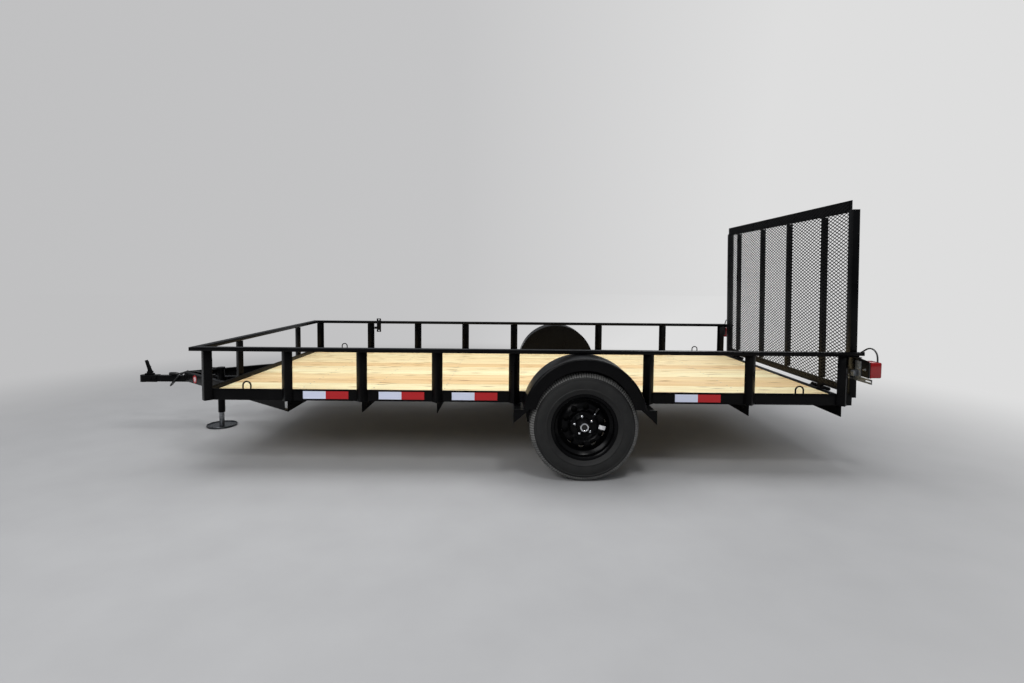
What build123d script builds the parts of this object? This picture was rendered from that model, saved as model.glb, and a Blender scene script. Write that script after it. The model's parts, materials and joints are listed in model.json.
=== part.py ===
"""Single-axle utility trailer with a timber deck, a mesh ramp gate and a tongue jack.

Millimetres. +X runs to the rear, +Y to the right-hand side, +Z up.
The origin is on the ground, under the middle of the overall length.
"""
import os
from math import asin, atan2, cos, degrees, radians, sin, sqrt, tan

from build123d import *

os.makedirs("parts", exist_ok=True)

# ---------------------------------------------------------------- driving dimensions
bed_length = 4267.0          # 14 ft between the outer faces of the end rails
bed_width = 2108.0           # 83 in over the side rails
deck_floor_height = 450.0    # ground to the underside of the side rails
rail_height = 76.0           # 3 in angle
rail_flange = 50.0
rail_wall = 5.0
board_thickness = 38.0
board_count = 11
board_gap = 3.0
cross_depth = 76.0           # cross-members hang this far under the rails
cross_leg = 45.0
post_leg = 50.8              # 2 in angle, heel outwards
post_wall = 5.0
top_rail_width = 51.0
top_rail_height = 25.0
top_rail_top = 806.0
top_rail_gap = 10.0          # rail face to the tube's inner face
tube_wall = 3.0

# places along the bed
posts_from_front = [24.0, 552.0, 1043.5, 1539.5]
posts_from_rear = [675.5, 68.5]
wheel_from_rear = 1781.5
wheel_bay = 880.0            # between the posts each side of the wheel
front_post_y = 555.0

# running gear
tyre_radius = 344.0
tyre_width = 205.0
tyre_gap = 18.0              # side rail to tyre
rim_flange_radius = 208.0
rim_barrel_radius = 190.0
rim_wall = 3.5
well_radius = 163.6
well_outer = 27.0            # tyre's middle to the well's outboard end
well_inner = 14.0
disc_turn = 4.6
disc_offset = 20.0           # bolt pad outboard of the tyre's middle
hub_bore_radius = 42.0
lug_circle_radius = 57.15    # five studs on 4 1/2 in
lug_count = 5
lug_start = 100.0            # first stud, degrees up from the rear
lug_radius = 10.5
lug_length = 24.0
stud_radius = 6.35
stud_clearance = 0.4
disc_wall = 6.0
cap_radius = 29.0
cap_end = 90.0               # tyre's middle to the cap's end
cap_recess_radius = 18.0
hand_hole_count = 10
hand_hole_ring = 121.0
hand_hole_radius = 20.0
hand_hole_start = 12.0
axle_tube_radius = 30.0
axle_drop = 102.0            # drop axle: tube below the spindles
spindle_radius = 22.0
spindle_clearance = 0.3
spring_width = 45.0
spring_leaf = 8.0
spring_leaves = 4
spring_half = 330.0          # axle to either hanger pin
spring_arch = 42.0
hanger_wall = 6.0

# fender
fender_radius = 390.0
fender_lift = 46.5           # arch centre above the wheel centre
fender_width = 236.0
fender_skirt = 76.5
fender_sheet = 3.0
fender_end_rise = 11.0       # lower edge above the rails' underside
brace_depth = 76.0
brace_flange = 45.0
brace_sheet = 5.0

# tongue
coupler_reach = 1140.5       # front rail to the coupler's nose
apex_reach = 753.5           # front rail to the meeting legs
leg_depth = 76.0
leg_flange = 36.0
leg_cope = 31.0
pole_size = 51.0
pole_top = 415.0
coupler_length = 150.0
coupler_width = 76.0
coupler_wall = 3.0
ball_radius = 25.4           # 2 in ball
ball_clearance = 0.6
jack_reach = 420.5           # front rail to the jack
jack_offset = 62.0           # jack's axis left of the pole's middle
jack_tube_radius = 27.0
jack_leg_radius = 20.0
jack_leg_clearance = 0.3
jack_tube_bottom = 119.0
jack_tube_top = 484.0
jack_foot_radius = 118.0
jack_foot_sheet = 6.0
jack_stroke_stop = 20.0

# gate
gate_height = 1231.0
gate_bottom = 499.0          # over the rear rail
gate_gap = -9.0              # rear rail's outer face to the gate's front face
gate_side_gap = 14.0
gate_post_size = 45.0
gate_cap_sheet = 4.0
gate_lean = 1.0              # degrees forwards of upright when shut
gate_band_height = 78.0
gate_band_rise = 66.0        # top band above the posts
gate_band_inset = 22.0
gate_bar_width = 38.0
gate_bar_depth = 32.0
gate_bar_sheet = 4.0
gate_bar_y = [-684.0, -187.0, 282.0, 790.0]
gate_rail_height = 51.0
mesh_sheet = 2.4
hinge_y = [-640.0, 830.0]
hinge_length = 220.0
hinge_pin_radius = 8.0
hinge_barrel_radius = 13.0
hinge_pin_clearance = 0.3
hinge_inset = 34.0           # gate's front face to the hinge pins
hinge_z = 497.0
keeper_sheet = 6.0
keeper_reach = 62.5          # top rail's end to the keeper's end
keeper_pin_radius = 8.0

# lamps and fittings
lamp_plate_reach = 192.0
lamp_plate_sheet = 5.0
lamp_plate_inset = 21.0      # rear rail's outer face to the plate's rear face
lamp_plate_bottom = 700.0
lamp_size = 100.0
lamp_depth = 81.0
lamp_z = 714.0
number_plate_z = 648.0
number_slot_pitch = 178.0    # 7 in between the plate's bolts
number_bar_length = 246.0
number_bar_height = 30.0
number_bar_sheet = 4.0
number_bar_reach = 110.0     # rail's outer face to the bar's middle
number_box = (24.0, 36.0, 34.0)
hoop_width = 62.0
hoop_height = 84.0
hoop_rod_radius = 5.0
hoop_from_front = 279.0
hoop_from_rear = 341.0
spare_from_front = 633.5
spare_bolt_pitch = 114.3
spare_bar_width = 44.0
spare_bar_height = 140.0
spare_bar_drop = 41.0        # top rail's top to the bar's middle
spare_arm_height = 24.0
spare_sheet = 6.0

# ---------------------------------------------------------------- worked-out places
overall_length = coupler_reach + bed_length + keeper_reach
front_x = coupler_reach - overall_length / 2
rear_x = front_x + bed_length
half_width = bed_width / 2
rail_bottom = deck_floor_height
rail_top = rail_bottom + rail_height
deck_bottom = rail_bottom + rail_wall
deck_top = deck_bottom + board_thickness
cross_bottom = rail_bottom - cross_depth
top_rail_bottom = top_rail_top - top_rail_height
wheel_x = rear_x - wheel_from_rear
wheel_post_x = [wheel_x - wheel_bay / 2, wheel_x + wheel_bay / 2]
front_post_x = [front_x + place for place in posts_from_front]
rear_post_x = [rear_x - place for place in posts_from_rear]
post_x = front_post_x + wheel_post_x + rear_post_x
wheel_z = tyre_radius
tyre_inner = half_width + tyre_gap
tyre_mid = tyre_inner + tyre_width / 2
fender_z = wheel_z + fender_lift
fender_outer = half_width + fender_width
axle_tube_z = wheel_z - axle_drop
sides = {"left": -1, "right": 1}


def upright(x, y, z):
    """Side-on plane at a place: local x is +X, local y is +Z, facing -Y."""
    return Plane(origin=(x, y, z), x_dir=(1, 0, 0), z_dir=(0, -1, 0))


def save(part, label):
    """Label a finished piece and write it to its own STEP file."""
    part.label = label
    export_step(part, f"parts/{label}.step")


# ---------------------------------------------------------------- bed frame
def side_rail(side):
    """Angle iron: upright leg outside, flange inwards under the boards."""
    outer = side * half_width
    web_in = side * (half_width - rail_wall)
    flange_in = side * (half_width - rail_flange)
    with BuildPart() as rail:
        with BuildSketch(Plane.YZ.offset(front_x)):
            with BuildLine():
                Polyline(
                    (outer, rail_bottom),
                    (outer, rail_top),
                    (web_in, rail_top),
                    (web_in, deck_bottom),
                    (flange_in, deck_bottom),
                    (flange_in, rail_bottom),
                    close=True,
                )
            make_face()
        extrude(amount=bed_length)
    return rail.part


for name, side in sides.items():
    save(side_rail(side), f"side_rail_{name}")

end_rail_span = bed_width - 2 * rail_wall     # between the side rails' upright legs
with BuildPart() as front_rail:
    # upright leg outside, flange backwards; the flange stops at the side rails' flanges
    with BuildSketch(Plane.XY.offset(deck_bottom)):
        with Locations((front_x + rail_wall / 2, 0)):
            Rectangle(rail_wall, end_rail_span)
    extrude(amount=rail_height - rail_wall)
    with BuildSketch(Plane.XY.offset(rail_bottom)):
        with Locations((front_x + rail_flange / 2, 0)):
            Rectangle(rail_flange, bed_width - 2 * rail_flange)
    extrude(amount=rail_wall)
save(front_rail.part, "front_rail")

rear_flange_x = rear_x - rail_flange - rail_wall
with BuildPart() as rear_rail:
    # upright leg outside, flange forwards and flush with the boards
    with BuildSketch(Plane.XY.offset(deck_bottom)):
        with Locations((rear_x - rail_wall / 2, 0)):
            Rectangle(rail_wall, end_rail_span)
    extrude(amount=board_thickness)
    with BuildSketch(Plane.XY.offset(deck_top - rail_wall)):
        with Locations(((rear_x + rear_flange_x) / 2, 0)):
            Rectangle(rear_x - rear_flange_x, end_rail_span)
    extrude(amount=rail_wall)
save(rear_rail.part, "rear_rail")

with BuildPart() as crossmembers:
    # angle iron: a deep web under the side rails and a top leg level with their flanges
    for x in post_x[1:]:
        with BuildSketch(Plane.YZ.offset(x - rail_wall / 2)):
            with BuildLine():
                Polyline(
                    (-half_width, cross_bottom),
                    (half_width, cross_bottom),
                    (half_width, rail_bottom),
                    (half_width - rail_flange, rail_bottom),
                    (half_width - rail_flange, deck_bottom),
                    (rail_flange - half_width, deck_bottom),
                    (rail_flange - half_width, rail_bottom),
                    (-half_width, rail_bottom),
                    close=True,
                )
            make_face()
        extrude(amount=rail_wall)
        with BuildSketch(Plane.XY.offset(rail_bottom)):
            with Locations((x + cross_leg / 2 - rail_wall / 2, 0)):
                Rectangle(cross_leg, bed_width - 2 * rail_flange)
        extrude(amount=rail_wall)
save(crossmembers.part, "crossmembers")

board_span = bed_width - 2 * rail_wall - board_gap
board_pitch = board_span / board_count
board_front = front_x + rail_wall + board_gap
board_rear = rear_flange_x - board_gap
with BuildPart() as deck_boards:
    with BuildSketch(Plane.XY.offset(deck_bottom)):
        with Locations(((board_front + board_rear) / 2, 0)):
            with GridLocations(0, board_pitch, 1, board_count):
                Rectangle(board_rear - board_front, board_pitch - board_gap)
    extrude(amount=board_thickness)
save(deck_boards.part, "deck_boards")


# ---------------------------------------------------------------- posts and top rails
def post_outline(x, y, direction):
    """Angle-iron section turned on its corner: toes at (x, y), heel towards direction."""
    reach = post_leg / sqrt(2)
    wall = post_wall / sqrt(2)
    across = Vector(-direction.Y, direction.X)
    table = [            # across, out
        (-reach, wall),
        (0, reach + wall),
        (reach, wall),
        (reach - wall, 0),
        (0, reach - wall),
        (wall - reach, 0),
    ]
    return [Vector(x, y) + across * a + direction * b for a, b in table]


post_rows = {        # node: places of its posts, and which way their heels point
    "posts_left": ([(x, -half_width) for x in post_x], Vector(0, -1)),
    "posts_right": ([(x, half_width) for x in post_x], Vector(0, 1)),
    "posts_front": ([(front_x, y) for y in (-front_post_y, front_post_y)], Vector(-1, 0)),
}
for name, (places, heel) in post_rows.items():
    with BuildPart() as posts:
        for x, y in places:
            with BuildSketch(Plane.XY.offset(rail_bottom)):
                with BuildLine():
                    Polyline(*post_outline(x, y, heel), close=True)
                make_face()
            extrude(amount=top_rail_bottom - rail_bottom)
    save(posts.part, name)

top_rail_front = front_x - top_rail_gap - top_rail_width
top_rail_mid_y = half_width + top_rail_gap + top_rail_width / 2
top_rail_mid_z = (top_rail_top + top_rail_bottom) / 2
for name, side in sides.items():
    with BuildPart() as top_rail:
        with BuildSketch(Plane.YZ.offset(top_rail_front)):
            with Locations((side * top_rail_mid_y, top_rail_mid_z)):
                Rectangle(top_rail_width, top_rail_height)
                Rectangle(
                    top_rail_width - 2 * tube_wall,
                    top_rail_height - 2 * tube_wall,
                    mode=Mode.SUBTRACT,
                )
        extrude(amount=rear_x - top_rail_front)
    save(top_rail.part, f"top_rail_{name}")

top_front_span = 2 * (half_width + top_rail_gap)
with BuildPart() as top_rail_front_tube:
    with BuildSketch(Plane.XZ.offset(-top_front_span / 2)):
        with Locations((top_rail_front + top_rail_width / 2, top_rail_mid_z)):
            Rectangle(top_rail_width, top_rail_height)
            Rectangle(
                top_rail_width - 2 * tube_wall,
                top_rail_height - 2 * tube_wall,
                mode=Mode.SUBTRACT,
            )
    extrude(amount=top_front_span)
save(top_rail_front_tube.part, "top_rail_front")

# ---------------------------------------------------------------- fenders
fender_low = rail_bottom + fender_end_rise
fender_half = sqrt(fender_radius**2 - (fender_low - fender_z) ** 2)


def arch_face(outer, inner):
    """Arch between two radii, cut off level at the fender's lower edge."""
    Circle(outer)
    if inner > 0:
        Circle(inner, mode=Mode.SUBTRACT)
    cut = outer * 2
    with Locations((0, fender_low - fender_z - cut / 2)):
        Rectangle(cut * 2, cut, mode=Mode.SUBTRACT)


for name, side in sides.items():
    inner_plane = upright(wheel_x, side * half_width, fender_z)
    outer_plane = upright(wheel_x, side * (fender_outer - fender_sheet), fender_z)
    with BuildPart() as fender:
        with BuildSketch(inner_plane):
            arch_face(fender_radius, fender_radius - fender_sheet)
        extrude(amount=-side * fender_width)
        with BuildSketch(inner_plane):
            arch_face(fender_radius, 0)
        extrude(amount=-side * fender_sheet)
        with BuildSketch(outer_plane):
            arch_face(fender_radius, fender_radius - fender_skirt)
        extrude(amount=-side * fender_sheet)
    save(fender.part, f"fender_{name}")

with BuildPart() as fender_braces:
    # an outrigger in line with the cross-member, and a gusset up to the fender's end
    for side in sides.values():
        for x, end in zip(wheel_post_x, (-1, 1)):
            with BuildSketch(Plane.XY.offset(rail_bottom - brace_depth)):
                with Locations((x, side * (half_width + fender_width / 2))):
                    Rectangle(rail_wall, fender_width)
            extrude(amount=brace_depth)
            with BuildSketch(Plane.XY.offset(rail_bottom - rail_wall)):
                flange_x = x - end * (brace_flange - rail_wall) / 2
                with Locations((flange_x, side * (half_width + fender_width / 2))):
                    Rectangle(brace_flange, fender_width)
            extrude(amount=rail_wall)
            fender_end = wheel_x + end * (fender_half - fender_skirt / 2)
            with BuildSketch(Plane.XZ.offset(-side * (fender_outer - brace_sheet / 2))):
                with BuildLine():
                    Polyline(
                        (x + end * rail_wall / 2, rail_bottom - brace_depth),
                        (x + end * rail_wall / 2, fender_low),
                        (fender_end, fender_low),
                        close=True,
                    )
                make_face()
            extrude(amount=brace_sheet / 2, both=True)
save(fender_braces.part, "fender_braces")

# ---------------------------------------------------------------- axle and springs
spring_y = half_width - rail_flange / 2
spring_seat = axle_tube_z + axle_tube_radius
spring_stack = spring_leaves * spring_leaf
eye_z = spring_seat + spring_stack + spring_arch
eye_radius = 15.0
eye_pin_radius = 7.0
drop_width = 62.0
drop_thickness = 20.0
tube_half = half_width + 12.0
drop_outer = tube_half + drop_thickness
spindle_end = tyre_mid + disc_offset + 40.0

with BuildPart() as axle:
    with BuildSketch(upright(wheel_x, tube_half, axle_tube_z)):
        Circle(axle_tube_radius)
    extrude(amount=2 * tube_half)
    for side in sides.values():
        with BuildSketch(Plane.XZ.offset(-side * tube_half)):
            with Locations((wheel_x, (axle_tube_z + wheel_z) / 2)):
                SlotCenterToCenter(axle_drop, drop_width, rotation=90)
        extrude(amount=-side * drop_thickness)
        with BuildSketch(upright(wheel_x, side * drop_outer, wheel_z)):
            Circle(spindle_radius)
        extrude(amount=-side * (spindle_end - drop_outer))
save(axle.part, "axle")

spring_radius = (spring_half**2 + spring_arch**2) / (2 * spring_arch)
with BuildPart() as leaf_springs:
    # a stack of arched leaves, each shorter than the one above, under an eye at each end
    for side in sides.values():
        spring_plane = upright(wheel_x, side * spring_y, 0)
        for leaf in range(spring_leaves):
            low = spring_seat + leaf * spring_leaf
            half = spring_half * (leaf + 2) / (spring_leaves + 1)
            radius = spring_radius - leaf * spring_leaf
            sweep_angle = degrees(asin(half / radius))
            centre_z = low + radius
            with BuildSketch(spring_plane):
                with BuildLine():
                    lower = CenterArc((0, centre_z), radius, 270 - sweep_angle, 2 * sweep_angle)
                    upper = CenterArc(
                        (0, centre_z), radius - spring_leaf, 270 - sweep_angle, 2 * sweep_angle
                    )
                    Line(lower @ 0, upper @ 0)
                    Line(lower @ 1, upper @ 1)
                make_face()
            extrude(amount=spring_width / 2, both=True)
        with BuildSketch(spring_plane):
            with Locations((-spring_half, eye_z), (spring_half, eye_z)):
                Circle(eye_radius)
        extrude(amount=spring_width / 2, both=True)
        with BuildSketch(spring_plane):
            with Locations((-spring_half, eye_z), (spring_half, eye_z)):
                Circle(eye_pin_radius)
        extrude(amount=spring_width / 2, both=True, mode=Mode.SUBTRACT)
save(leaf_springs.part, "leaf_springs")

hanger_gap = 1.5
with BuildPart() as spring_hangers:
    # two cheeks and a pin at each eye, welded under the side rail
    for side in sides.values():
        for end in (-1, 1):
            x = wheel_x + end * spring_half
            cheek_y = spring_width / 2 + hanger_gap + hanger_wall / 2
            for cheek in (-cheek_y, cheek_y):
                y = side * spring_y + cheek
                with BuildSketch(Plane.XZ.offset(-y)):
                    with BuildLine():
                        Polyline(
                            (x - 42, rail_bottom),
                            (x + 42, rail_bottom),
                            (x + 22, eye_z - 22),
                            (x - 22, eye_z - 22),
                            close=True,
                        )
                    make_face()
                extrude(amount=hanger_wall / 2, both=True)
            with BuildSketch(upright(x, side * spring_y, eye_z)):
                Circle(eye_pin_radius - 0.3)
            extrude(amount=cheek_y + hanger_wall / 2 + 6, both=True)
save(spring_hangers.part, "spring_hangers")

clamp_plate = 10.0
clamp_rod = 6.0
clamp_half = 42.0
clamp_edge = 11.0
clamp_overhang = clamp_rod + 7.0
with BuildPart() as spring_clamps:
    # a plate under the axle tube, one on the spring, and four rods through both
    for side in sides.values():
        low = axle_tube_z - axle_tube_radius
        top_leaf_radius = spring_radius - spring_stack
        high = spring_seat + spring_stack + (clamp_half + clamp_edge) ** 2 / (2 * top_leaf_radius)
        for z in (low - clamp_plate, high):
            with BuildSketch(Plane.XY.offset(z)):
                with Locations((wheel_x, side * spring_y)):
                    Rectangle(2 * (clamp_half + clamp_edge), spring_width + 2 * clamp_overhang)
            extrude(amount=clamp_plate)
        with BuildSketch(Plane.XY.offset(low - clamp_plate - 12)):
            with Locations((wheel_x, side * spring_y)):
                with GridLocations(2 * clamp_half, spring_width + 2 * clamp_rod + 2, 2, 2):
                    Circle(clamp_rod)
        extrude(amount=high - low + 2 * clamp_plate + 24)
save(spring_clamps.part, "spring_clamps")


# ---------------------------------------------------------------- wheels
def section_plane(side):
    """Radius along +X, outboard along local y."""
    return Plane(
        origin=(wheel_x, side * tyre_mid, wheel_z),
        x_dir=(1, 0, 0),
        z_dir=(0, 0, side),
    )


for name, side in sides.items():
    spin = Axis((wheel_x, side * tyre_mid, wheel_z), (0, side, 0))
    half = tyre_width / 2
    shoulder = tyre_radius - 14.0
    bead = rim_barrel_radius + 1.0
    with BuildPart() as tyre:
        with BuildSketch(section_plane(side)):
            with BuildLine():
                Polyline(
                    (bead, -half + 31),
                    (bead, half - 31),
                    (rim_flange_radius + 1, half - 22),
                    (rim_flange_radius + 3, half - 14),
                    (rim_flange_radius + 32, half - 2),
                    (rim_flange_radius + 68, half),
                    (shoulder - 22, half - 10),
                    (shoulder, half - 22),
                    (tyre_radius - 2, half - 42),
                    (tyre_radius, 0),
                    (tyre_radius - 2, 42 - half),
                    (shoulder, 22 - half),
                    (shoulder - 22, 10 - half),
                    (rim_flange_radius + 68, -half),
                    (rim_flange_radius + 32, 2 - half),
                    (rim_flange_radius + 3, 14 - half),
                    (rim_flange_radius + 1, 22 - half),
                    close=True,
                )
            make_face()
        revolve(axis=spin)
    save(tyre.part, f"tyre_{name}")

    flange_y = half - 16.0
    disc_outline = [
        (hub_bore_radius, 0),
        (75, 0),
        (87, 6),
        (109, 24),
        (118, 23.5),
        (150, 8),
        (well_radius, 3),
        (well_radius, -13),
        (well_radius - disc_turn, -13),
        (well_radius - disc_turn, -3),
        (148, 2.5),
        (117, 17.5),
        (110, 18),
        (84, -3.5),
        (77, -disc_wall),
        (hub_bore_radius, -disc_wall),
    ]
    with BuildPart() as rim:
        with BuildSketch(section_plane(side)):
            with BuildLine():
                # barrel: a flange each side, bead seats, and a well that the disc is welded into
                Polyline(
                    (rim_flange_radius, flange_y),
                    (rim_flange_radius, flange_y - rim_wall),
                    (rim_barrel_radius, flange_y - 13),
                    (rim_barrel_radius - 1, well_outer + 19),
                    (well_radius + rim_wall, well_outer),
                    (well_radius + rim_wall, -well_inner),
                    (rim_barrel_radius - 1, -well_inner - 24),
                    (rim_barrel_radius, 13 - flange_y),
                    (rim_flange_radius, rim_wall - flange_y),
                    (rim_flange_radius, -flange_y),
                    (rim_barrel_radius - rim_wall, 8 - flange_y),
                    (rim_barrel_radius - rim_wall - 1, -well_inner - 26),
                    (well_radius, -well_inner - 1),
                    (well_radius, well_outer + 1),
                    (rim_barrel_radius - rim_wall - 1, well_outer + 21),
                    (rim_barrel_radius - rim_wall, flange_y - 8),
                    close=True,
                )
            make_face()
            with BuildLine():
                # pressed disc: flat bolt pad, raised crest, and an edge turned inwards in the well
                Polyline(
                    *[(radius, disc_offset + across) for radius, across in disc_outline],
                    close=True,
                )
            make_face()
        revolve(axis=spin)
        disc_mid = tyre_mid + disc_offset
        with BuildSketch(upright(wheel_x, side * (disc_mid - disc_wall), wheel_z)):
            with PolarLocations(hand_hole_ring, hand_hole_count, start_angle=hand_hole_start):
                Circle(hand_hole_radius)
        extrude(amount=-side * 40, mode=Mode.SUBTRACT)
        with BuildSketch(upright(wheel_x, side * (disc_mid - 2 * disc_wall), wheel_z)):
            with PolarLocations(lug_circle_radius, lug_count, start_angle=lug_start):
                Circle(stud_radius + stud_clearance)
        extrude(amount=-side * 3 * disc_wall, mode=Mode.SUBTRACT)
    save(rim.part, f"rim_{name}")

    with BuildPart() as hub:
        with BuildSketch(section_plane(side)):
            with BuildLine():
                Polyline(
                    (spindle_radius + spindle_clearance, -70),
                    (38, -70),
                    (40, disc_offset - 22),
                    (72, disc_offset - 22),
                    (72, disc_offset - disc_wall),
                    (hub_bore_radius - 0.5, disc_offset - disc_wall),
                    (hub_bore_radius - 0.5, disc_offset + 10),
                    (cap_radius, disc_offset + 16),
                    (cap_radius, cap_end),
                    (cap_recess_radius, cap_end),
                    (cap_recess_radius, cap_end - 5.5),
                    (0, cap_end - 5.5),
                    (0, cap_end - 8),
                    (spindle_radius + spindle_clearance, cap_end - 8),
                    close=True,
                )
            make_face()
        revolve(axis=spin)
        lug_plane = upright(wheel_x, side * (disc_mid - disc_wall), wheel_z)
        with BuildSketch(lug_plane):
            with PolarLocations(lug_circle_radius, lug_count, start_angle=lug_start):
                Circle(stud_radius)
        extrude(amount=-side * disc_wall)
        with BuildSketch(upright(wheel_x, side * disc_mid, wheel_z)):
            with PolarLocations(lug_circle_radius, lug_count, start_angle=lug_start):
                RegularPolygon(lug_radius, 6)
        extrude(amount=-side * lug_length)
    save(hub.part, f"hub_{name}")

# ---------------------------------------------------------------- tongue
coupler_x = front_x - coupler_reach
apex_x = front_x - apex_reach
leg_end_x = post_x[1] - rail_wall / 2
leg_run = leg_end_x - apex_x
pole_mid_z = pole_top - pole_size / 2
leg_start_y = pole_size / 2 + 3.0
leg_angle = degrees(atan2(half_width - leg_start_y - rail_wall, leg_run))

with BuildPart() as tongue_legs:
    # channel iron with its web outside, from the pole to the first cross-member
    for side in sides.values():
        across = Vector(-sin(radians(leg_angle)), side * cos(radians(leg_angle)))
        start = Vector(apex_x, side * leg_start_y)
        tilt = tan(radians(leg_angle))
        rise = leg_run * tilt
        for z, height, depth in (
            (cross_bottom, leg_depth, rail_wall),
            (cross_bottom, rail_wall, leg_flange),
            (rail_bottom - rail_wall, rail_wall, leg_flange),
        ):
            inset = depth / cos(radians(leg_angle))
            with BuildSketch(Plane.XY.offset(z)):
                with BuildLine():
                    Polyline(
                        (apex_x + max(0.0, inset - leg_start_y + pole_size / 2) / tilt,
                         side * (pole_size / 2)) if depth > rail_wall else
                        (apex_x, side * (leg_start_y - 3.0)),
                        (apex_x, side * leg_start_y),
                        (leg_end_x, side * (leg_start_y + rise)),
                        (leg_end_x, side * (leg_start_y + rise - inset)),
                        close=True,
                    )
                make_face()
            extrude(amount=height)
        # the web stops short of the cross-member; the flanges run on to it
        with BuildSketch(Plane.XY.offset(cross_bottom + rail_wall)):
            with Locations((leg_end_x - leg_cope / 2, side * half_width / 2)):
                Rectangle(leg_cope, half_width)
        extrude(amount=leg_depth - 2 * rail_wall, mode=Mode.SUBTRACT)
save(tongue_legs.part, "tongue_legs")

pole_front_x = coupler_x + coupler_length - 70.0
with BuildPart() as tongue_pole:
    with BuildSketch(Plane.YZ.offset(pole_front_x)):
        with Locations((0, pole_mid_z)):
            Rectangle(pole_size, pole_size)
            Rectangle(pole_size - 2 * tube_wall, pole_size - 2 * tube_wall, mode=Mode.SUBTRACT)
    extrude(amount=leg_end_x - pole_front_x)
save(tongue_pole.part, "tongue_pole")

ball_x = coupler_x + coupler_width / 2
with BuildPart() as coupler:
    # sleeve over the pole, and a rounded nose hollowed for the ball
    sleeve = pole_size + 2 * coupler_wall + 0.6
    with BuildSketch(Plane.XY.offset(pole_mid_z - sleeve / 2)):
        with Locations((coupler_x + coupler_width / 2, 0)):
            Circle(coupler_width / 2)
        with Locations((coupler_x + (coupler_width / 2 + coupler_length) / 2, 0)):
            Rectangle(coupler_length - coupler_width / 2, sleeve)
    extrude(amount=sleeve)
    with BuildSketch(Plane.YZ.offset(pole_front_x)):
        with Locations((0, pole_mid_z)):
            Rectangle(pole_size + 0.6, pole_size + 0.6)
    extrude(amount=coupler_length, mode=Mode.SUBTRACT)
    with BuildSketch(Plane.XY.offset(pole_mid_z - sleeve / 2)):
        with Locations((ball_x, 0)):
            Circle(ball_radius + ball_clearance)
    extrude(amount=sleeve / 2, mode=Mode.SUBTRACT)
    with Locations((ball_x, 0, pole_mid_z)):
        Sphere(ball_radius + ball_clearance, mode=Mode.SUBTRACT)
save(coupler.part, "coupler")

latch_thickness = 8.0
with BuildPart() as coupler_latch:
    # lever pivoted on the coupler's top, raised and leaning forwards
    latch_base = pole_mid_z + sleeve / 2
    with BuildSketch(Plane.XZ):
        with BuildLine():
            Polyline(
                (coupler_x + 50, latch_base),
                (coupler_x + 104, latch_base),
                (coupler_x + 96, latch_base + 34),
                (coupler_x + 58, latch_base + 128),
                (coupler_x + 38, latch_base + 122),
                (coupler_x + 62, latch_base + 40),
                close=True,
            )
        make_face()
    extrude(amount=latch_thickness, both=True)
save(coupler_latch.part, "coupler_latch")

# ---------------------------------------------------------------- jack
jack_x = front_x - jack_reach
jack_y = -jack_offset
bore = jack_leg_radius + jack_leg_clearance
with BuildPart() as jack_body:
    with BuildSketch(Plane.XY.offset(jack_tube_bottom)):
        with Locations((jack_x, jack_y)):
            Circle(jack_tube_radius)
            Circle(bore, mode=Mode.SUBTRACT)
    extrude(amount=jack_tube_top - jack_tube_bottom)
    with BuildSketch(Plane.XY.offset(jack_tube_top)):
        with Locations((jack_x, jack_y)):
            Circle(jack_tube_radius + 5)
    extrude(amount=16)
    # bracket to the side of the pole
    with BuildSketch(Plane.XY.offset(pole_mid_z - pole_size / 2)):
        with Locations((jack_x, -(pole_size / 2 + jack_offset - jack_tube_radius + 8) / 2)):
            Rectangle(96, jack_offset - jack_tube_radius - pole_size / 2 + 8)
        with Locations((jack_x, jack_y)):
            Circle(jack_tube_radius - 1, mode=Mode.SUBTRACT)
    extrude(amount=pole_size)
save(jack_body.part, "jack_body")

crank_z = jack_tube_top + 4
crank_rod = 6.0
with BuildPart() as jack_crank:
    # rod out of the head, arm up, and a grip back along the rod
    with BuildSketch(Plane.YZ.offset(jack_x - jack_tube_radius - 5)):
        with Locations((jack_y, crank_z + 4)):
            Circle(crank_rod)
    extrude(amount=-58)
    with BuildSketch(Plane.XY.offset(crank_z - 2)):
        with Locations((jack_x - jack_tube_radius - 5 - 52, jack_y)):
            Rectangle(12, 20)
    extrude(amount=84)
    with BuildSketch(Plane.YZ.offset(jack_x - jack_tube_radius - 5 - 48)):
        with Locations((jack_y, crank_z + 70)):
            Circle(11)
    extrude(amount=-62)
save(jack_crank.part, "jack_crank")

with BuildPart() as jack_leg:
    with BuildSketch(Plane.XY.offset(jack_foot_sheet)):
        with Locations((jack_x, jack_y)):
            Circle(jack_leg_radius)
    extrude(amount=jack_tube_top - jack_stroke_stop - 130 - jack_foot_sheet)
save(jack_leg.part, "jack_leg")

with BuildPart() as jack_foot:
    # round pad with a turned-up rim
    with BuildSketch(Plane.XY):
        with Locations((jack_x, jack_y)):
            Circle(jack_foot_radius)
    extrude(amount=jack_foot_sheet)
    with BuildSketch(Plane.XY.offset(jack_foot_sheet)):
        with Locations((jack_x, jack_y)):
            Circle(jack_foot_radius)
            Circle(jack_foot_radius - 8, mode=Mode.SUBTRACT)
    extrude(amount=10)
save(jack_foot.part, "jack_foot")

# ---------------------------------------------------------------- gate
gate_x = rear_x + gate_gap
gate_half = half_width - gate_side_gap
gate_top = gate_bottom + gate_height
gate_inner = gate_half - gate_post_size
hinge_x = gate_x + hinge_inset


def leaned(part):
    """The shut gate's lean, taken about its hinge pins."""
    return part.rotate(Axis((hinge_x, 0, hinge_z), (0, 1, 0)), -gate_lean)


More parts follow.
